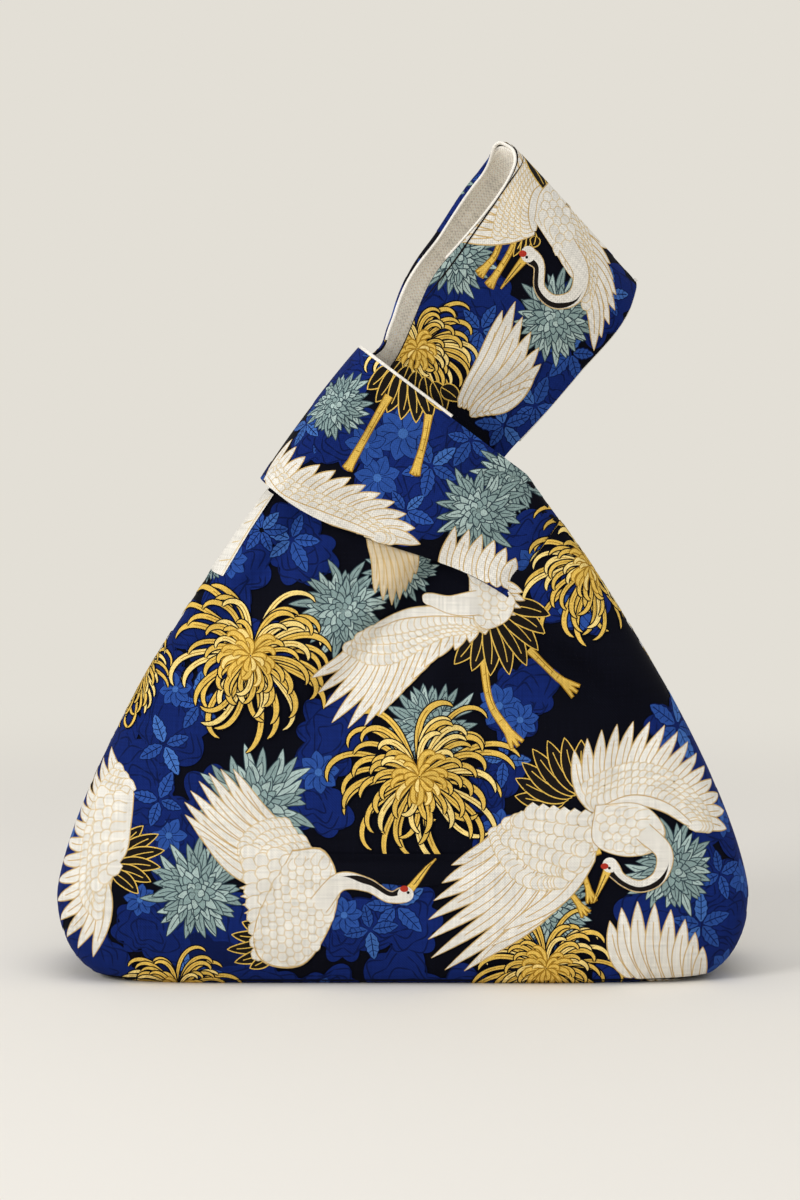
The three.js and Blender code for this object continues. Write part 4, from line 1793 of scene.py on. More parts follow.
@dataclass
class Body(SubAssembly):
    """The body: outer cloth, interlining and linen lining, front and back."""

    flat: tuple[float, float] = (0.39, 0.25)
    area: float = 0.072
    columns: int = 168
    base_rows: int = 14
    corner_rows: int = 20
    wall_rows: int = 84
    mouth_dip: float = 15.0
    mouth_span: float = 46.0
    mouth_place: float = 86.0
    under_band: float = 12.0
    rim_start: float = 90.0
    rim_end: float = 212.0
    rim_step: float = 0.5
    join_slack: float = 1.0
    join_overlap: float = 5.0
    mouth_ease: float = 0.4
    outer_cloth: float = 0.9
    interlining_depth: float = 1.5
    lining_depth: float = 2.6
    lining_cloth: float = 0.6
    lining_drop: float = 1.0
    corner: float = 36.0
    seam_radius: float = 0.9
    seam_drop: float = 6.0
    seam_steps: int = 120
    front_creases: tuple[Crease, ...] = (
        Crease((20, 178), (66, 152), 5, -3.2),
        Crease((30, 164), (84, 116), 8, -6.2),
        Crease((70, 146), (106, 122), 9, 3.6),
        Crease((8, 170), (-52, 96), 9, -7.4),
        Crease((18, 182), (8, 140), 12, -8),
        Crease((16, 150), (6, 66), 13, 5.4),
        Crease((-30, 190), (-84, 112), 9, 3.8),
        Crease((-44, 196), (-106, 108), 8, -5),
        Crease((60, 150), (112, 84), 11, -5.2),
        Crease((-38, 54), (46, 51), 3, -1.5),
        Crease((-38, 47), (46, 44), 4, 1),
        Crease((118, 52), (146, 8), 5, -2.2))
    back_creases: tuple[Crease, ...] = (
        Crease((-24, 176), (-80, 110), 9, -4),
        Crease((-36, 174), (-98, 124), 9, 2.8),
        Crease((4, 170), (44, 92), 10, -3.2),
        Crease((36, 190), (92, 104), 9, 2.4),
        Crease((-8, 150), (-4, 60), 13, 2.6))

    def surface(self, side: Side) -> BodySurface:
        """The face of one side.

        Args:
            side: which side.

        Returns:
            Its face, with its own folds.
        """
        if side is Side.FRONT:
            return BodySurface(side, self.front_creases, 3)
        return BodySurface(side, self.back_creases, 7)

    def rim_limit(self, run: Array, side: Side) -> Array:
        """Highest rise of the cloth: up under the band, but dipping at the mouth behind.

        Args:
            run: places along the band.
            side: which panel.

        Returns:
            The rise at each place.
        """
        middle = SHAPE.neck_left + self.mouth_place
        dip = np.clip(1.0 - (2.0 * (run - middle) / self.mouth_span) ** 2, 0.0, None)
        opened = smooth(dip, 0.0, self.mouth_ease) * (side is Side.BACK)
        return SHAPE.band_low(run) + self.under_band * (1 - opened) - self.mouth_dip * dip * opened

    def column_top(self, surface: BodySurface, shares: Array) -> Array:
        """Height at which each column of cloth ends.

        Args:
            surface: the panel's face.
            shares: the columns, from -1 at one side seam to 1 at the other.

        Returns:
            The heights, a little evened out.
        """
        heights = np.arange(self.rim_start, self.rim_end + self.rim_step, self.rim_step)
        tops = []
        for share in shares:
            x, _, z = surface.place(share * surface.half_cloth(heights), heights).T
            run, rise = SHAPE.to_band(x, z)
            joined = run >= SHAPE.band_end - self.join_slack
            over = (rise > self.rim_limit(run, surface.side)) & ~joined
            over |= joined & (heights > SHAPE.join_height + self.join_overlap)
            tops.append(heights[np.argmax(over)] if over.any() else heights[-1])
        return np.convolve(np.pad(tops, 2, mode="edge"), (0.1, 0.2, 0.4, 0.2, 0.1), mode="valid")

    def grid(self, surface: BodySurface) -> tuple[Array, Array]:
        """Grid of cloth places from the base seam to the rim.

        Args:
            surface: the face to cover.

        Returns:
            Grids of u and v.
        """
        shares = np.linspace(-1.0, 1.0, self.columns + 1)
        tops = self.column_top(surface, shares)
        base = np.linspace(surface.rows[0], 0.0, self.base_rows, endpoint=False)
        corner = np.linspace(0.0, self.corner, self.corner_rows, endpoint=False)
        level = np.concatenate([base, corner])
        wall = np.linspace(np.full_like(tops, self.corner), tops, self.wall_rows + 1)
        v = np.vstack([np.tile(level[:, None], len(shares)), wall])
        return shares * surface.half_cloth(v), v

    def seams(self) -> dict[str, Array]:
        """Paths of the side seams, where the two panels meet, and of the seam across the base.

        Returns:
            Each seam's path under its name.
        """
        faces = [self.surface(side) for side in Side]
        share = np.linspace(-1.0, 1.0, self.seam_steps)
        paths = {}
        for word, sign in (("left", -1.0), ("right", 1.0)):
            top = min(float(self.column_top(face, np.array([sign]))[0]) for face in faces)
            v = np.linspace(0.0, top - self.seam_drop, self.seam_steps)
            paths[word] = np.mean([face.place(sign * face.half_cloth(v), v) for face in faces], axis=0)
        low = np.full(self.seam_steps, faces[0].rows[0])
        flush = np.mean([face.place(share * face.half_cloth(low), low) for face in faces], axis=0)
        paths["base"] = flush + np.array([0.0, 0.0, self.seam_radius])
        return paths

    def build(self, prints: dict[Side, PrintDrawing]) -> None:
        """Args:
            prints: the drawing on each side.
        """
        for word, path in self.seams().items():
            ridge = tube_piece(f"body_seam_{word}", path, self.seam_radius, self.finishes.ground)
            self.ride(ridge, Slot.PRINTED)
        for side in Side:
            word = side.name.lower()
            surface = self.surface(side)
            u, v = self.grid(surface)
            outer = cloth_piece(f"body_{word}", surface, u, v, self.finishes.ground, 0.0, self.outer_cloth)
            drawn = prints[side].piece(f"body_{word}_print", surface, self.finishes.print)
            v = v - self.lining_drop
            under = cloth_piece(f"body_interlining_{word}", surface, u[::3, ::3], v[::3, ::3],
                                self.finishes.interlining, -self.interlining_depth)
            lining = cloth_piece(f"body_lining_{word}", surface, u[:, ::2], v[:, ::2],
                                 self.finishes.linen, -self.lining_depth, self.lining_cloth)
            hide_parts(f"outer_{word}")
            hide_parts(f"interlining_{word}")
            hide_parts(f"lining_{word}")
            for piece, slot in ((outer, Slot.PRINTED), (drawn, Slot.PRINTED),
                                (under, Slot.INTERLINING), (lining, Slot.LINEN)):
                self.ride(piece, slot)


@dataclass
class Band(SubAssembly):
    """The short handle, worn as a band round the neck, with its lining and piping."""

    flat: tuple[float, float] = (0.26, 0.071)
    area: float = 0.0165
    columns: int = 150
    rows: int = 40
    cloth: float = 0.9
    lining_depth: float = 1.4
    lining_cloth: float = 0.6
    lining_trim: float = 0.6
    piping_radius: float = 1.0
    piping_sink: float = 0.7
    piping_rise: float = 0.5
    piping_steps: int = 150
    piping_stop: float = 66.0
    join_start: float = 3.0
    join_end: float = 40.0

    def grid(self, surface: BandSurface, trim: float = 0.0) -> tuple[Array, Array]:
        """Grid of cloth places.

        Args:
            surface: the face to cover.
            trim: how far the cloth keeps from the lower and upper edges.

        Returns:
            Grids of u and v.
        """
        along = np.linspace(surface.back_end, SHAPE.band_end, self.columns + 1)
        run, _ = surface.path(along)
        v = np.linspace(SHAPE.band_low(run) + trim, SHAPE.band_high(run) - trim, self.rows + 1)
        return np.tile(along, (self.rows + 1, 1)), v

    def edge(self, surface: BandSurface) -> Array:
        """Path of the piping along the upper edge, from back to front.

        Args:
            surface: the band's face.

        Returns:
            Points of the path, as rows.
        """
        reach = SHAPE.band_end - self.piping_stop
        back = 2 * SHAPE.band_fold_start - surface.fold_arc - reach
        u = np.linspace(back, reach, self.piping_steps)
        points, normal = surface.points(u, SHAPE.band_high(surface.path(u)[0]))
        upward = np.array([math.sin(SHAPE.tilt), 0.0, math.cos(SHAPE.tilt)])
        return points - normal * self.piping_sink + upward * self.piping_rise

    def build(self, drawing: PrintDrawing) -> None:
        """Args:
            drawing: its print.
        """
        surface = BAND_FACE
        inner = BandSurface(self.lining_depth)
        outer = cloth_piece("short_handle_strap", surface, *self.grid(surface), self.finishes.ground,
                            0.0, self.cloth)
        drawn = drawing.piece("short_handle_print", surface, self.finishes.print)
        lining = cloth_piece("short_handle_lining", inner, *self.grid(inner, self.lining_trim),
                             self.finishes.linen, 0.0, self.lining_cloth)
        piping = tube_piece("short_handle_piping_cord", self.edge(surface), self.piping_radius,
                            self.finishes.edging)
        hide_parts("short_handle_front", "short_handle_back")
        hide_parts("short_handle_lining_front", "short_handle_lining_back")
        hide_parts("short_handle_piping")
        middle = SHAPE.band_top - SHAPE.band_width / 2
        start = frame_point(SHAPE.band_end - self.join_start, middle)
        end = frame_point(SHAPE.band_end - self.join_end, middle)
        for piece, slot in ((outer, Slot.PRINTED), (drawn, Slot.PRINTED),
                            (lining, Slot.LINEN), (piping, Slot.EDGING)):
            self.bend(piece, slot, "short_handle", start, end)


@dataclass
class LongHandle(SubAssembly):
    """The long handle: a lined loop of strap with white rolled edges."""

    flat: tuple[float, float] = (0.08, 0.36)
    area: float = 0.0265
    columns: int = 56
    rows: int = 190
    cloth: float = 0.9
    lining_depth: float = 1.3
    lining_cloth: float = 0.6
    lining_trim: float = 0.5
    edge_radius: float = 0.75
    edge_start: float = -4.0
    edge_sink: float = 0.9
    edge_out: float = 0.2
    hooked_out: float = 0.3
    bare_edge: float = 36.0
    edge_steps: int = 170
    stitch_start: float = 2.0
    stitch_inset: float = 5.0
    stitch_lift: float = -0.72
    stitch_steps: int = 240
    bend_below: float = 8.0
    bend_above: float = 14.0

    def grid(self, surface: HandleSurface, trim: float = 0.0) -> tuple[Array, Array]:
        """Grid of cloth places over the loop.

        Args:
            surface: the face to cover.
            trim: how far a lining keeps from the long edges.

        Returns:
            Grids of u and v.
        """
        along = np.linspace(*surface.reach, self.rows + 1)
        half = surface.half_strap(along) - trim
        u = np.linspace(-half, half, self.columns + 1, axis=1)
        return u, np.tile(along[:, None], self.columns + 1)

    def edge(self, surface: HandleSurface, word: str) -> Array:
        """Path of the rolled edge on the left or right.

        Args:
            surface: the strap's face.
            word: which edge.

        Returns:
            Points of the path, as rows.
        """
        sign, low = (-1.0, self.bare_edge) if word == "left" else (1.0, self.edge_start)
        v = np.linspace(surface.along_at(low), surface.along_at(self.edge_start, False), self.edge_steps)
        hooked = surface.hook_at(v) * (sign < 0)
        u = sign * (surface.half_strap(v) + self.edge_out + self.hooked_out * hooked)
        return surface.points(u, v, -self.edge_sink * (1.0 - hooked))[0]

    def topstitch(self, surface: HandleSurface, stitches: Tree) -> Piece:
        """Stitch the lining along both long edges, a little way in.

        Args:
            surface: the lining's face.
            stitches: the stitch nodes.

        Returns:
            The stitches as one piece.
        """
        v = np.linspace(surface.along_at(self.stitch_start), surface.along_at(self.stitch_start, False),
                        self.stitch_steps)
        half = surface.half_strap(v) - self.stitch_inset
        lines = [surface.points(sign * half, v, self.stitch_lift)[0] for sign in (-1.0, 1.0)]
        return stitch_piece("long_handle_topstitch", lines, stitches, self.finishes.thread)

    def build(self, drawing: PrintDrawing, stitches: Tree) -> None:
        """Args:
            drawing: its print.
            stitches: the stitch nodes.
        """
        surface = HANDLE_FACE
        inner = HandleSurface(self.lining_depth)
        outer = cloth_piece("long_handle_strap", surface, *self.grid(surface), self.finishes.ground,
                            0.0, self.cloth)
        drawn = drawing.piece("long_handle_print", surface, self.finishes.print)
        lining = cloth_piece("long_handle_lining", inner, *self.grid(inner, self.lining_trim),
                             self.finishes.linen, 0.0, self.lining_cloth)
        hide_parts("long_handle_front", "long_handle_back", "handle_root_front", "handle_root_back")
        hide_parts("long_handle_lining_front", "long_handle_lining_back",
                    "handle_root_lining_front", "handle_root_lining_back")
        edges = []
        for word in ("left", "right"):
            cord = tube_piece(f"long_handle_edge_cord_{word}", self.edge(surface, word), self.edge_radius,
                              self.finishes.edging)
            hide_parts(f"long_handle_edge_{word}")
            edges.append(cord)
        seam = self.topstitch(inner, stitches)
        start = frame_point(SHAPE.handle_middle, SHAPE.hinge_rise - self.bend_below)
        end = frame_point(SHAPE.handle_middle, SHAPE.hinge_rise + self.bend_above)
        for piece, slot in ((outer, Slot.PRINTED), (drawn, Slot.PRINTED), (lining, Slot.LINEN),
                            (edges[0], Slot.EDGING), (edges[1], Slot.EDGING), (seam, Slot.LINEN)):
            self.bend(piece, slot, "long_handle", start, end)


RIM_MARGIN = 0.2
EDGE_MARGIN = 0.1
BACK_CUT = (42, 26)


def body_clip(side: Side) -> Clip:
    """Make a rule that keeps cloth places on a body panel, in from its seams and under its rim.

    Args:
        side: which panel.

    Returns:
        The rule.
    """
    body = Body()
    surface = body.surface(side)
    shares = np.linspace(-1.0, 1.0, body.columns + 1)
    tops = body.column_top(surface, shares) - RIM_MARGIN

    def clip(u: Array, v: Array) -> tuple[Array, Array]:
        """Hold places on the panel.

        Args:
            u: places across the cloth.
            v: places up the cloth.

        Returns:
            The places, moved onto it.
        """
        v = np.clip(v, surface.rows[0], surface.rows[-1])
        share = np.clip(u / surface.half_cloth(v), -1.0, 1.0)
        v = np.minimum(v, np.interp(share, shares, tops))
        return share * surface.half_cloth(v), v

    return clip


def band_clip(u: Array, v: Array) -> tuple[Array, Array]:
    """Keep cloth places on the short handle.

    Args:
        u: places across the cloth.
        v: places up the cloth.

    Returns:
        The places, moved onto it.
    """
    u = np.clip(u, BAND_FACE.back_end, SHAPE.band_end)
    run, _ = BAND_FACE.path(u)
    return u, np.clip(v, SHAPE.band_low(run) + EDGE_MARGIN, SHAPE.band_high(run) - EDGE_MARGIN)


def handle_clip(u: Array, v: Array) -> tuple[Array, Array]:
    """Keep cloth places on the long handle.

    Args:
        u: places across the cloth.
        v: places up the cloth.

    Returns:
        The places, moved onto it.
    """
    v = np.clip(v, *HANDLE_FACE.reach)
    half = HANDLE_FACE.half_strap(v) - EDGE_MARGIN
    return np.clip(u, -half, half), v


def band_turn(flat: Array) -> Array:
    """Front-view places as places along and across the band."""
    return np.stack(SHAPE.to_band(*flat.T), axis=1)


def handle_turn(flat: Array) -> Array:
    """Turn front-view places to places on the front strap of the long handle.

    Args:
        flat: the places, as rows.

    Returns:
        Places across and along the strap, as rows.
    """
    front = slice(None, HANDLE_FACE.top)
    climbs, arcs, spreads = HANDLE_FACE.climb[front], HANDLE_FACE.arc[front], HANDLE_FACE.spread[front]
    run, rise = SHAPE.to_band(*flat.T)
    climb = rise - SHAPE.hinge_rise
    along = np.interp(climb, climbs, arcs) + np.maximum(climb - climbs[-1], 0.0)
    offset = run - SHAPE.handle_middle - HANDLE_FACE.lean_at(climb)
    aside = np.interp(climb, climbs, spreads) * math.sin(SHAPE.handle_yaw)
    return np.stack([(offset + aside) / math.cos(SHAPE.handle_yaw), along], axis=1)


def shifted(across: float, upward: float) -> Callable[[Array], Array]:
    """Make a rule that shifts a drawing, for the same print cut elsewhere on the cloth.

    Args:
        across: how far to the right.
        upward: how far up.

    Returns:
        The rule.
    """

    def turn(flat: Array) -> Array:
        """Shift places."""
        return flat + np.array([across, upward])

    return turn


def rising_crane(page: PrintDrawing) -> None:
    """Crane at the lower left, one wing raised and its neck stretched to the right.

    Args:
        page: the drawing to add to.
    """
    page.tail([(-57, 25), (-56, 14)], [(-68, 28), (-74, 20), (-73, 12), (-65, 8)], 5, 5)
    page.wing([(-36, 55), (-46, 54), (-51, 49), (-52, 42)],
              [(-72, 92), (-81, 91), (-90, 83), (-93, 74), (-86, 64)], 9, 6.4)
    page.fan([(-39, 53), (-41, 42)], [(-67, 53), (-69, 43), (-67, 32)], 7, 6)
    page.scales([(-36, 55), (-36, 35)], [(-71, 58), (-66, 11)], (0.82, 0.66, 0.5, 0.35), 9, 8, 6)
    page.plumage([(-47, 58), (-34, 58), (-28, 44), (-31, 27), (-43, 10), (-60, 12), (-62, 29)], 7, (-0.5, -1))
    page.neck([(-36, 35), (-27, 45), (-15, 44), (-6, 39), (1, 40)], 6.6, (14, 55))


def landing_crane(page: PrintDrawing) -> None:
    """Crane at the lower right, both wings spread and its neck looped.

    Args:
        page: the drawing to add to.
    """
    page.leg([(84, 58), (73, 53), (68, 46), (75, 35)], 2, 5)
    page.leg([(80, 60), (77, 50), (79, 41)], 2, 5)
    page.tail([(69, 79), (78, 84)], [(48, 81), (49, 91), (56, 101), (66, 105), (76, 104)], 7, 7.4)
    page.wing([(82, 74), (97, 79), (111, 76), (123, 68)],
              [(73, 100), (83, 107), (100, 111), (118, 107), (133, 93), (143, 77), (142, 65)], 15, 6.2)
    page.wing([(51, 74), (67, 73), (80, 66), (82, 58)],
              [(21, 52), (14, 39), (11, 26), (14, 10), (29, 8), (43, 25)], 11, 7.6)
    page.scales([(54, 77), (86, 74)], [(41, 58), (67, 44)], (0.7, 0.5, 0.3, 0.1), 10, 7, 5.6)
    page.plumage([(82, 77), (101, 77), (111, 67), (107, 58), (93, 56), (81, 62)], 6, (-1, -0.3))
    page.neck([(102, 66), (111, 57), (109, 47), (101, 43), (93, 46), (88, 52)], 6.2, (81, 36))


def flying_crane(page: PrintDrawing) -> None:
    """Crane in the middle, its wing swept to the left and its legs trailing.

    Args:
        page: the drawing to add to.
    """
    page.leg([(34, 142), (37, 121), (45, 108)], 3.2, 7)
    page.leg([(54, 142), (64, 132), (69, 128)], 2.8, 7)
    page.tail([(33, 152), (45, 161)],
              [(22, 137), (33, 133), (43, 132), (53, 136), (59, 144), (63, 157)], 8, 7.2)
    page.wing([(-13, 152), (-2, 156), (12, 158), (24, 158), (32, 156)],
              [(-39, 131), (-35, 121), (-29, 111), (-16, 111), (-5, 120), (11, 137), (25, 144), (35, 149)],
              15, 6.2)
    page.fan([(29, 162), (38, 169)], [(48, 157), (52, 163), (51, 167)], 4, 5)
    page.plumage([(29, 178), (37, 172), (47, 164), (45, 155), (35, 151), (29, 159)], 6, (0.6, -1))
    page.neck([(32, 162), (21, 161), (12, 163), (9, 162)], 8, None)


def edge_wing(page: PrintDrawing) -> None:
    """Wing that comes round from the left side.

    Args:
        page: the drawing to add to.
    """
    page.tail([(-122, 55), (-124, 49)], [(-111, 68), (-104, 64), (-102, 56), (-106, 47), (-113, 40)], 6, 5.6)
    page.wing([(-116, 83), (-118, 69), (-120, 57), (-128, 48)],
              [(-130, 99), (-145, 87), (-153, 68), (-156, 43), (-150, 21), (-133, 12)], 14, 6.8,
              (0.46, 0.36, 0.26, 0.17, 0.08))
    page.scales([(-116, 79), (-119, 54)], [(-139, 82), (-138, 36)], (0.6, 0.4, 0.2), 9, 7, 5.4)


def leaf_ground(page: PrintDrawing) -> None:
    """Blue leaf masses and small flowers that stand clear of the larger figures.

    Args:
        page: the drawing to add to.
    """
    for spot, size in (((-44, 187), 20), ((-73, 174), 22), ((-85, 152), 20), ((-100, 112), 24),
                       ((-112, 83), 20), ((-31, 105), 22), ((-38, 79), 18), ((-3, 29), 22),
                       ((74, 163), 20), ((120, 110), 15), ((50, 121), 20),
                       ((127, 45), 18), ((140, 27), 18), ((41, 58), 18), ((-25, 25), 16),
                       ((-108, 24), 18), ((110, 87), 16), ((39, 86), 15), ((-131, 109), 16)):
        page.cloud(spot, 0.8 * size)
    for spot, size, count in (((-48, 189), 13, 5), ((-61, 193), 10, 6), ((-102, 102), 12, 4),
                              ((-87, 119), 12, 5), ((120, 109), 16, 5),
                              ((-3, 35), 14, 5), ((127, 26), 12, 5), ((-104, 79), 11, 4),
                              ((-14, 25), 11, 4), ((43, 96), 10, 4), ((136, 47), 10, 4)):
        page.spray(spot, size, count)
    for spot, size in (((-36, 91), 9), ((41, 119), 9.5), ((50, 113), 8), ((76, 158), 9.5),
                       ((-75, 180), 8), ((-98, 125), 7.5), ((41, 68), 8),
                       ((-25, 31), 8), ((-112, 37), 7)):
        page.star(spot, size, 8)


def front_drawing() -> PrintDrawing:
    """The print on the front panel.

    Returns:
        The drawing.
    """
    page = PrintDrawing(5, body_clip(Side.FRONT))
    page.net = 3.2
    page.lift = 0.4
    page.scatter((-225, -34), (-120, 120), 34)
    page.scatter((118, -34), (225, 120), 34)
    page.scatter((-118, -38), (110, -8), 34)
    leaf_ground(page)
    for spot, size in (((0, 178), 17), ((-26, 159), 21), ((12, 111), 20), ((-62, 77), 25),
                       ((-88, 41), 22), ((62, 34), 20), ((115, 50), 20), ((-86, 179), 9)):
        page.grey_mum(spot, size)
    page.reseed(41)
    page.gold_mum((83, 177), 32, 0.9, 0.3)
    page.gold_mum((-65, 140), 37, 1, -0.3)
    page.gold_mum((7, 90), 38, 1, 0.3)
    page.gold_mum((-97, -4), 26)
    page.gold_mum((61, 8), 32)
    page.gold_mum((-124, 132), 24)
    page.fill([(-34, 57), (43, 57), (41, 47), (7, 43), (-31, 47)], Tint.NAVY, 0)
    # painted shade: these feathers under the band are drawn darker than their own cream, for the shadow they
    # hang in
    page.fan([(-15, 194), (0, 192)], [(-12, 167), (-6, 162), (-2, 164), (5, 175)], 7, 4.6,
             (Tint.CREAM_IN_SHADE, Tint.TAN))
    page.fill([(-67, 213), (-56, 208), (-66, 193), (-78, 173), (-90, 176), (-79, 195)], Tint.WHITE)
    page.line([(-57, 208), (-67, 193), (-79, 173)], 0.6, Tint.SAND)
    for top, foot in (((-59, 206), (-66, 202)), ((-65, 197), (-71, 195)), ((-71, 188), (-76, 187)),
                      ((-75, 180), (-82, 179))):
        page.line([top, foot], 0.5, Tint.SAND)
    flying_crane(page)
    edge_wing(page)
    page.fan([(98, 3), (131, -6)],
             [(88, 28), (95, 35), (104, 36), (115, 32), (122, 26), (128, 16)], 8, 7.4)
    landing_crane(page)
    rising_crane(page)
    return page


def back_drawing() -> PrintDrawing:
    """The print on the back panel: the same cloth, cut elsewhere in the repeat.

    Returns:
        The drawing.
    """
    page = PrintDrawing(6, body_clip(Side.BACK), shifted(*BACK_CUT))
    page.scatter((-280, -70), (190, 190), 34)
    for spot, size in (((-26, 159), 21), ((12, 111), 20), ((-62, 77), 25), ((-88, 41), 22),
                       ((62, 34), 20), ((115, 50), 20), ((-164, 91), 24), ((-195, 29), 22),
                       ((-31, -8), 22), ((-124, 153), 20), ((85, -12), 20)):
        page.grey_mum(spot, size)
    for spot, size, lean in (((82, 175), 32, 0.3), ((-66, 140), 37, -0.3), ((11, 85), 38, 0.3),
                             ((-152, -16), 34, -0.3), ((-168, 135), 34, 0.3), ((29, -12), 32, -0.3)):
        page.gold_mum(spot, size, 1, lean)
    flying_crane(page)
    edge_wing(page)
    landing_crane(page)
    rising_crane(page)
    return page


def band_drawing() -> PrintDrawing:
    """The print on the short handle.

    Returns:
        The drawing.
    """
    page = PrintDrawing(7, band_clip)
    page.net = 2.8
    page.scatter((-350, 132), (-205, 210), 28)
    page.grey_mum((-228, 176), 18)
    page.gold_mum((-262, 150), 28)
    page.wing([(-330, 150), (-305, 146), (-290, 160)],
              [(-338, 196), (-318, 206), (-296, 204), (-272, 192)], 10, 6.4)
    page.turn = band_turn
    for spot, size in (((-1, 228), 26), ((20, 219), 22), ((-23, 232), 16), ((50, 181), 24),
                       ((29, 207), 18), ((-31, 253), 16), ((61, 159), 22), ((7, 207), 20),
                       ((68, 180), 20), ((33, 232), 20)):
        page.cloud(spot, 0.85 * size)
    page.star((0, 235), 12, 9)
    page.star((-11, 216), 10, 7)
    page.star((57, 177), 10, 8)
    page.star((-16, 230), 9, 7)
    for spot, size in (((12, 221), 12), ((1, 202), 11), ((61, 168), 12), ((29, 232), 11),
                       ((-44, 241), 10)):
        page.spray(spot, size, 5)
    page.grey_mum((-29, 248), 17)
    page.grey_mum((47, 216), 17)
    page.grey_mum((32, 202), 20)
    page.reseed(41)
    page.gold_mum((82, 178), 32, 0.9, 0.3)
    page.gold_mum((7, 270), 24, 0.9)
    page.tail([(-5, 264), (11, 255)],
              [(-15, 254), (-9, 246), (0, 241), (9, 240), (16, 244), (21, 250)], 8, 6.6)
    page.leg([(-6, 251), (-13, 239), (-22, 223)], 3, 4)
    page.leg([(11, 243), (9, 232), (6, 221)], 3, 4)
    page.wing([(-62, 218), (-52, 207), (-36, 200), (-22, 195), (-12, 191)],
              [(-52, 235), (-41, 224), (-27, 218), (-15, 212), (-3, 205), (4, 196), (7, 188)],
              12, 6.6, (0.3, 0.18, 0.08))
    page.fan([(20, 167), (32, 170), (45, 168)],
             [(22, 195), (30, 193), (36, 190), (42, 187), (48, 181)], 6, 7)
    return page


def handle_drawing() -> PrintDrawing:
    """The print on the front strap of the long handle, carried over to the back strap.

    Returns:
        The drawing.
    """
    page = PrintDrawing(8, handle_clip)
    page.net = 2.6
    page.scatter((-42, 16), (42, 190), 28)
    page.grey_mum((-22, 34), 17)
    page.grey_mum((28, 96), 18)
    page.gold_mum((8, 62), 26)
    page.gold_mum((-30, 128), 24)
    page.wing([(20, 112), (2, 108), (-8, 96)], [(36, 150), (16, 152), (-10, 144), (-34, 118)], 10, 6.4)
    page.turn = handle_turn
    for spot, size in (((16, 283), 20), ((55, 240), 22), ((33, 292), 16), ((85, 292), 18),
                       ((68, 258), 16), ((32, 321), 14)):
        page.cloud(spot, size)
    for spot, size in (((58, 247), 12), ((44, 238), 11), ((33, 279), 12), ((74, 271), 12),
                       ((90, 297), 11)):
        page.spray(spot, size, 5)
    page.grey_mum((22, 308), 17)
    page.grey_mum((66, 285), 20)
    page.gold_mum((6, 271), 27)
    page.tail([(-1, 266), (16, 255)], [(-10, 256), (3, 245), (16, 243), (24, 249)], 6, 6.4)
    page.leg([(48, 318), (43, 308), (38, 300)], 2.4, 4)
    page.leg([(41, 318), (38, 309), (34, 304)], 2.4, 4)
    page.tail([(51, 323), (55, 317)], [(46, 309), (50, 310), (54, 313)], 4, 4)
    page.fan([(24, 246), (31, 244), (36, 244)],
             [(42, 287), (47, 291), (52, 283), (56, 277), (60, 268), (57, 259)], 7, 8.2, bow=-0.05)
    page.fan([(29, 242), (37, 244)], [(42, 258), (49, 257), (55, 255)], 4, 6, bow=-0.05)
    page.wing([(62, 336), (67, 328), (72, 317), (76, 305)],
              [(70, 350), (81, 339), (88, 324), (91, 308), (94, 292), (85, 273)], 14, 6.4)
    page.wing([(54, 319), (53, 326), (55, 334), (62, 338)],
              [(21, 314), (24, 322), (32, 336), (41, 348), (50, 356), (62, 352)], 17, 5.6,
              (0.44, 0.34, 0.25, 0.16, 0.08), 6, 0.03)
    page.tail([(48, 352), (50, 348)], [(71, 331), (68, 331), (63, 332), (59, 335)], 5, 5.4)
    page.plumage([(54, 323), (56, 334), (64, 339), (70, 327), (75, 313), (73, 302), (62, 314)], 7, (-0.3, 1))
    page.neck([(69, 315), (76, 305), (74, 295), (65, 292), (58, 297), (57, 306), (52, 310)], 6.2, (41, 296))
    # painted shade: a dark line along the strap's left edge, standing in for the shaded groove of its
    # stitched crease
    page.line([(50, 349), (40, 333), (29, 317), (18, 302), (6, 287)], 0.6, Tint.BLACK)
    return page


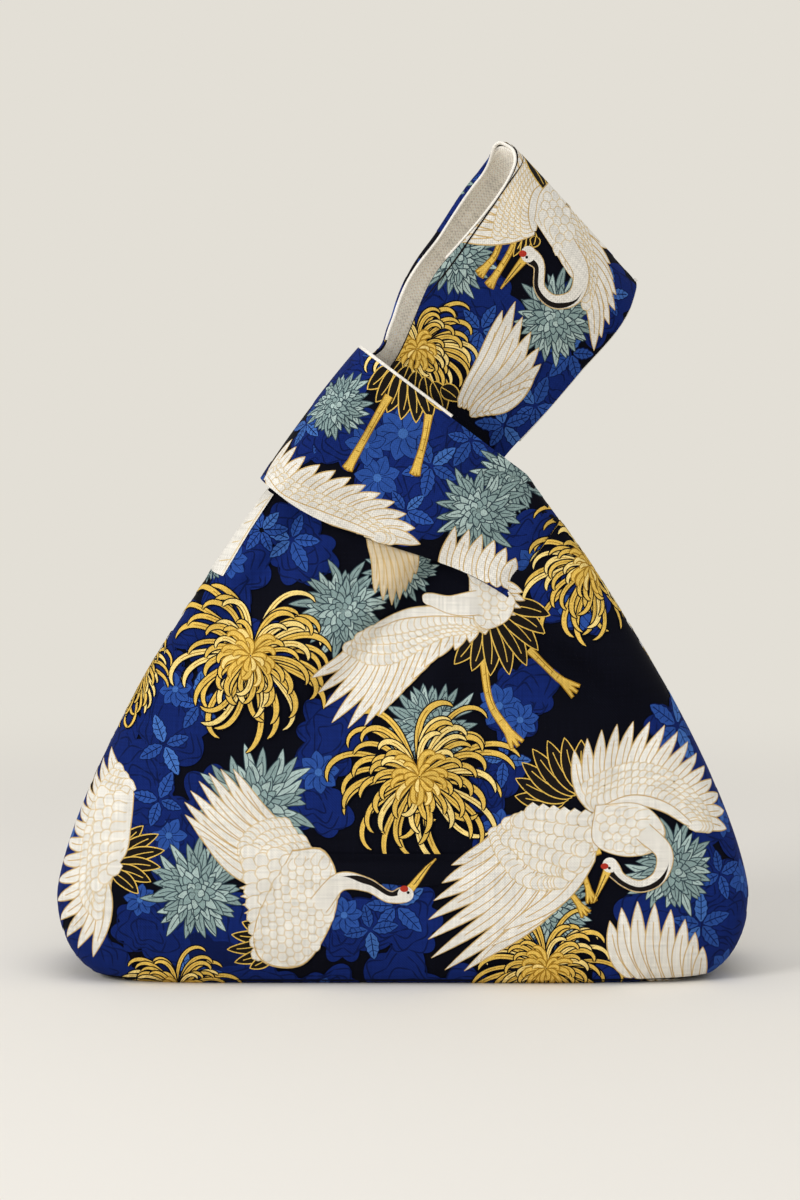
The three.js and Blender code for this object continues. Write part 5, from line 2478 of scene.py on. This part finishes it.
@dataclass(frozen=True)
class Stage:
    """Pale seamless floor, soft lamps and the camera."""

    aim: tuple[float, float, float] = (-0.0013, 0.0, 0.1618)
    distance: float = 1.239
    elevation: float = math.radians(4.5)
    lens: float = 85.0
    floor_reach: float = 9.0
    floor_sides: int = 96
    paper_roughness: float = 0.9
    paper_specular: float = 0.1
    haze_start: float = 0.24
    haze_end: float = 1.05
    air_light: float = 0.54
    air_colour: tuple[float, ...] = (1.0, 0.995, 0.98, 1.0)
    lamp_aim: tuple[float, float, float] = (0.0, 0.0, 0.14)
    lamps: tuple[tuple[str, tuple[float, float, float], float, float], ...] = (
        ("key_lamp", (-1.45, -1.25, 1.0), 0.7, 18.0),
        ("fill_lamp", (0.9, -1.6, 0.9), 1.6, 4.0),
        ("top_lamp", (0.1, -0.4, 1.9), 1.4, 10.0))

    @staticmethod
    def in_view(wire: Wiring) -> Socket:
        """Give 1 for rays that meet the stage from the camera, a mirror or glass.

        Args:
            wire: the tree.

        Returns:
            A socket with 1 or 0.
        """
        seen = wire.node("ShaderNodeLightPath").outputs
        bent = wire.maths("MAXIMUM", seen["Is Glossy Ray"], seen["Is Transmission Ray"])
        return wire.maths("MAXIMUM", seen["Is Camera Ray"], bent)

    @staticmethod
    def mixed(wire: Wiring, share: Socket, lit: bpy.types.Node, kind: str, output: str) -> None:
        """Show the air's colour in place of a lit shader.

        Args:
            wire: the tree.
            share: how much of the air's colour shows.
            lit: the shader that light falls on.
            kind: node type that gives the air's colour.
            output: name of the tree's output node.
        """
        air = wire.node(kind, {"Color": Tint.AIR.solid})
        mix = wire.node("ShaderNodeMixShader", {0: share, 1: lit.outputs[0], 2: air.outputs[0]})
        wire.feed(wire.tree.nodes[output], {"Surface": mix.outputs[0]})

    def floor(self) -> None:
        """Lay a round floor whose far part takes the air's colour, so that it has no edge."""
        turn = np.linspace(0.0, math.tau, self.floor_sides, endpoint=False)
        rim = [(self.floor_reach * x, self.floor_reach * y, 0.0) for x, y in circle(turn)]
        mesh = bpy.data.meshes.new("studio_floor")
        mesh.from_pydata(rim, [], [tuple(range(self.floor_sides))])
        paper = bpy.data.materials.new("studio_paper")
        paper.use_nodes = True
        wire = Wiring(paper.node_tree)
        shader = paper.node_tree.nodes["Principled BSDF"]
        wire.feed(shader, {"Base Color": Tint.PAPER.solid, "Roughness": self.paper_roughness,
                           "Specular IOR Level": self.paper_specular})
        place = wire.node("ShaderNodeTexCoord").outputs["Object"]
        away = wire.node("ShaderNodeVectorMath", {0: place}, operation="LENGTH").outputs["Value"]
        haze = {"Value": away, "From Min": self.haze_start, "From Max": self.haze_end}
        far = wire.node("ShaderNodeMapRange", haze, interpolation_type="SMOOTHERSTEP")
        share = wire.maths("MULTIPLY", far.outputs["Result"], self.in_view(wire))
        self.mixed(wire, share, shader, "ShaderNodeEmission", "Material Output")
        mesh.materials.append(paper)
        add_object("studio_floor", mesh)

    def air(self) -> None:
        """Give the world a plain light, and its own colour where the camera sees it."""
        world = bpy.data.worlds.new("studio_air")
        bpy.context.scene.world = world
        world.use_nodes = True
        wire = Wiring(world.node_tree)
        light = world.node_tree.nodes["Background"]
        wire.feed(light, {"Color": self.air_colour, "Strength": self.air_light})
        self.mixed(wire, self.in_view(wire), light, "ShaderNodeBackground", "World Output")

    def lamp(self, name: str, place: Sequence[float], size: float, power: float) -> None:
        """Hang a square soft lamp that faces the bag.

        Args:
            name: the lamp's name.
            place: where it hangs, in metres.
            size: its side.
            power: its watts.
        """
        data = bpy.data.lights.new(name, "AREA")
        data.size = size
        data.energy = power
        lamp = bpy.data.objects.new(name, data)
        lamp.location = place
        facing = Vector(self.lamp_aim) - Vector(place)
        lamp.rotation_euler = facing.to_track_quat("-Z", "Y").to_euler()
        bpy.context.scene.collection.objects.link(lamp)

    def build(self) -> None:
        """Set up floor, light and camera."""
        scene = bpy.context.scene
        scene.view_settings.view_transform = "Standard"
        self.floor()
        self.air()
        for lamp in self.lamps:
            self.lamp(*lamp)
        data = bpy.data.cameras.new("front_camera")
        data.lens = self.lens
        data.dof.use_dof = False
        camera = bpy.data.objects.new("front_camera", data)
        aim = Vector(self.aim)
        away = Vector((0.0, -math.cos(self.elevation), math.sin(self.elevation)))
        camera.location = aim + away * self.distance
        camera.rotation_euler = (-away).to_track_quat("-Z", "Y").to_euler()
        scene.collection.objects.link(camera)
        scene.camera = camera


def main() -> None:
    """Build the stage and the bag, and report each piece."""
    logging.basicConfig(level=logging.INFO, format="%(name)s: %(message)s")
    Stage().build()
    finishes = Finishes()
    stitches = stitch_tree()
    body = Body(finishes)
    body.build({Side.FRONT: front_drawing(), Side.BACK: back_drawing()})
    band = Band(finishes)
    band.build(band_drawing())
    handle = LongHandle(finishes)
    handle.build(handle_drawing(), stitches)
    for part in (body, band, handle):
        for piece in part.pieces:
            LOG.info("%s: %d faces", piece.name, len(piece.data.polygons))


if __name__ == "__main__":
    main()
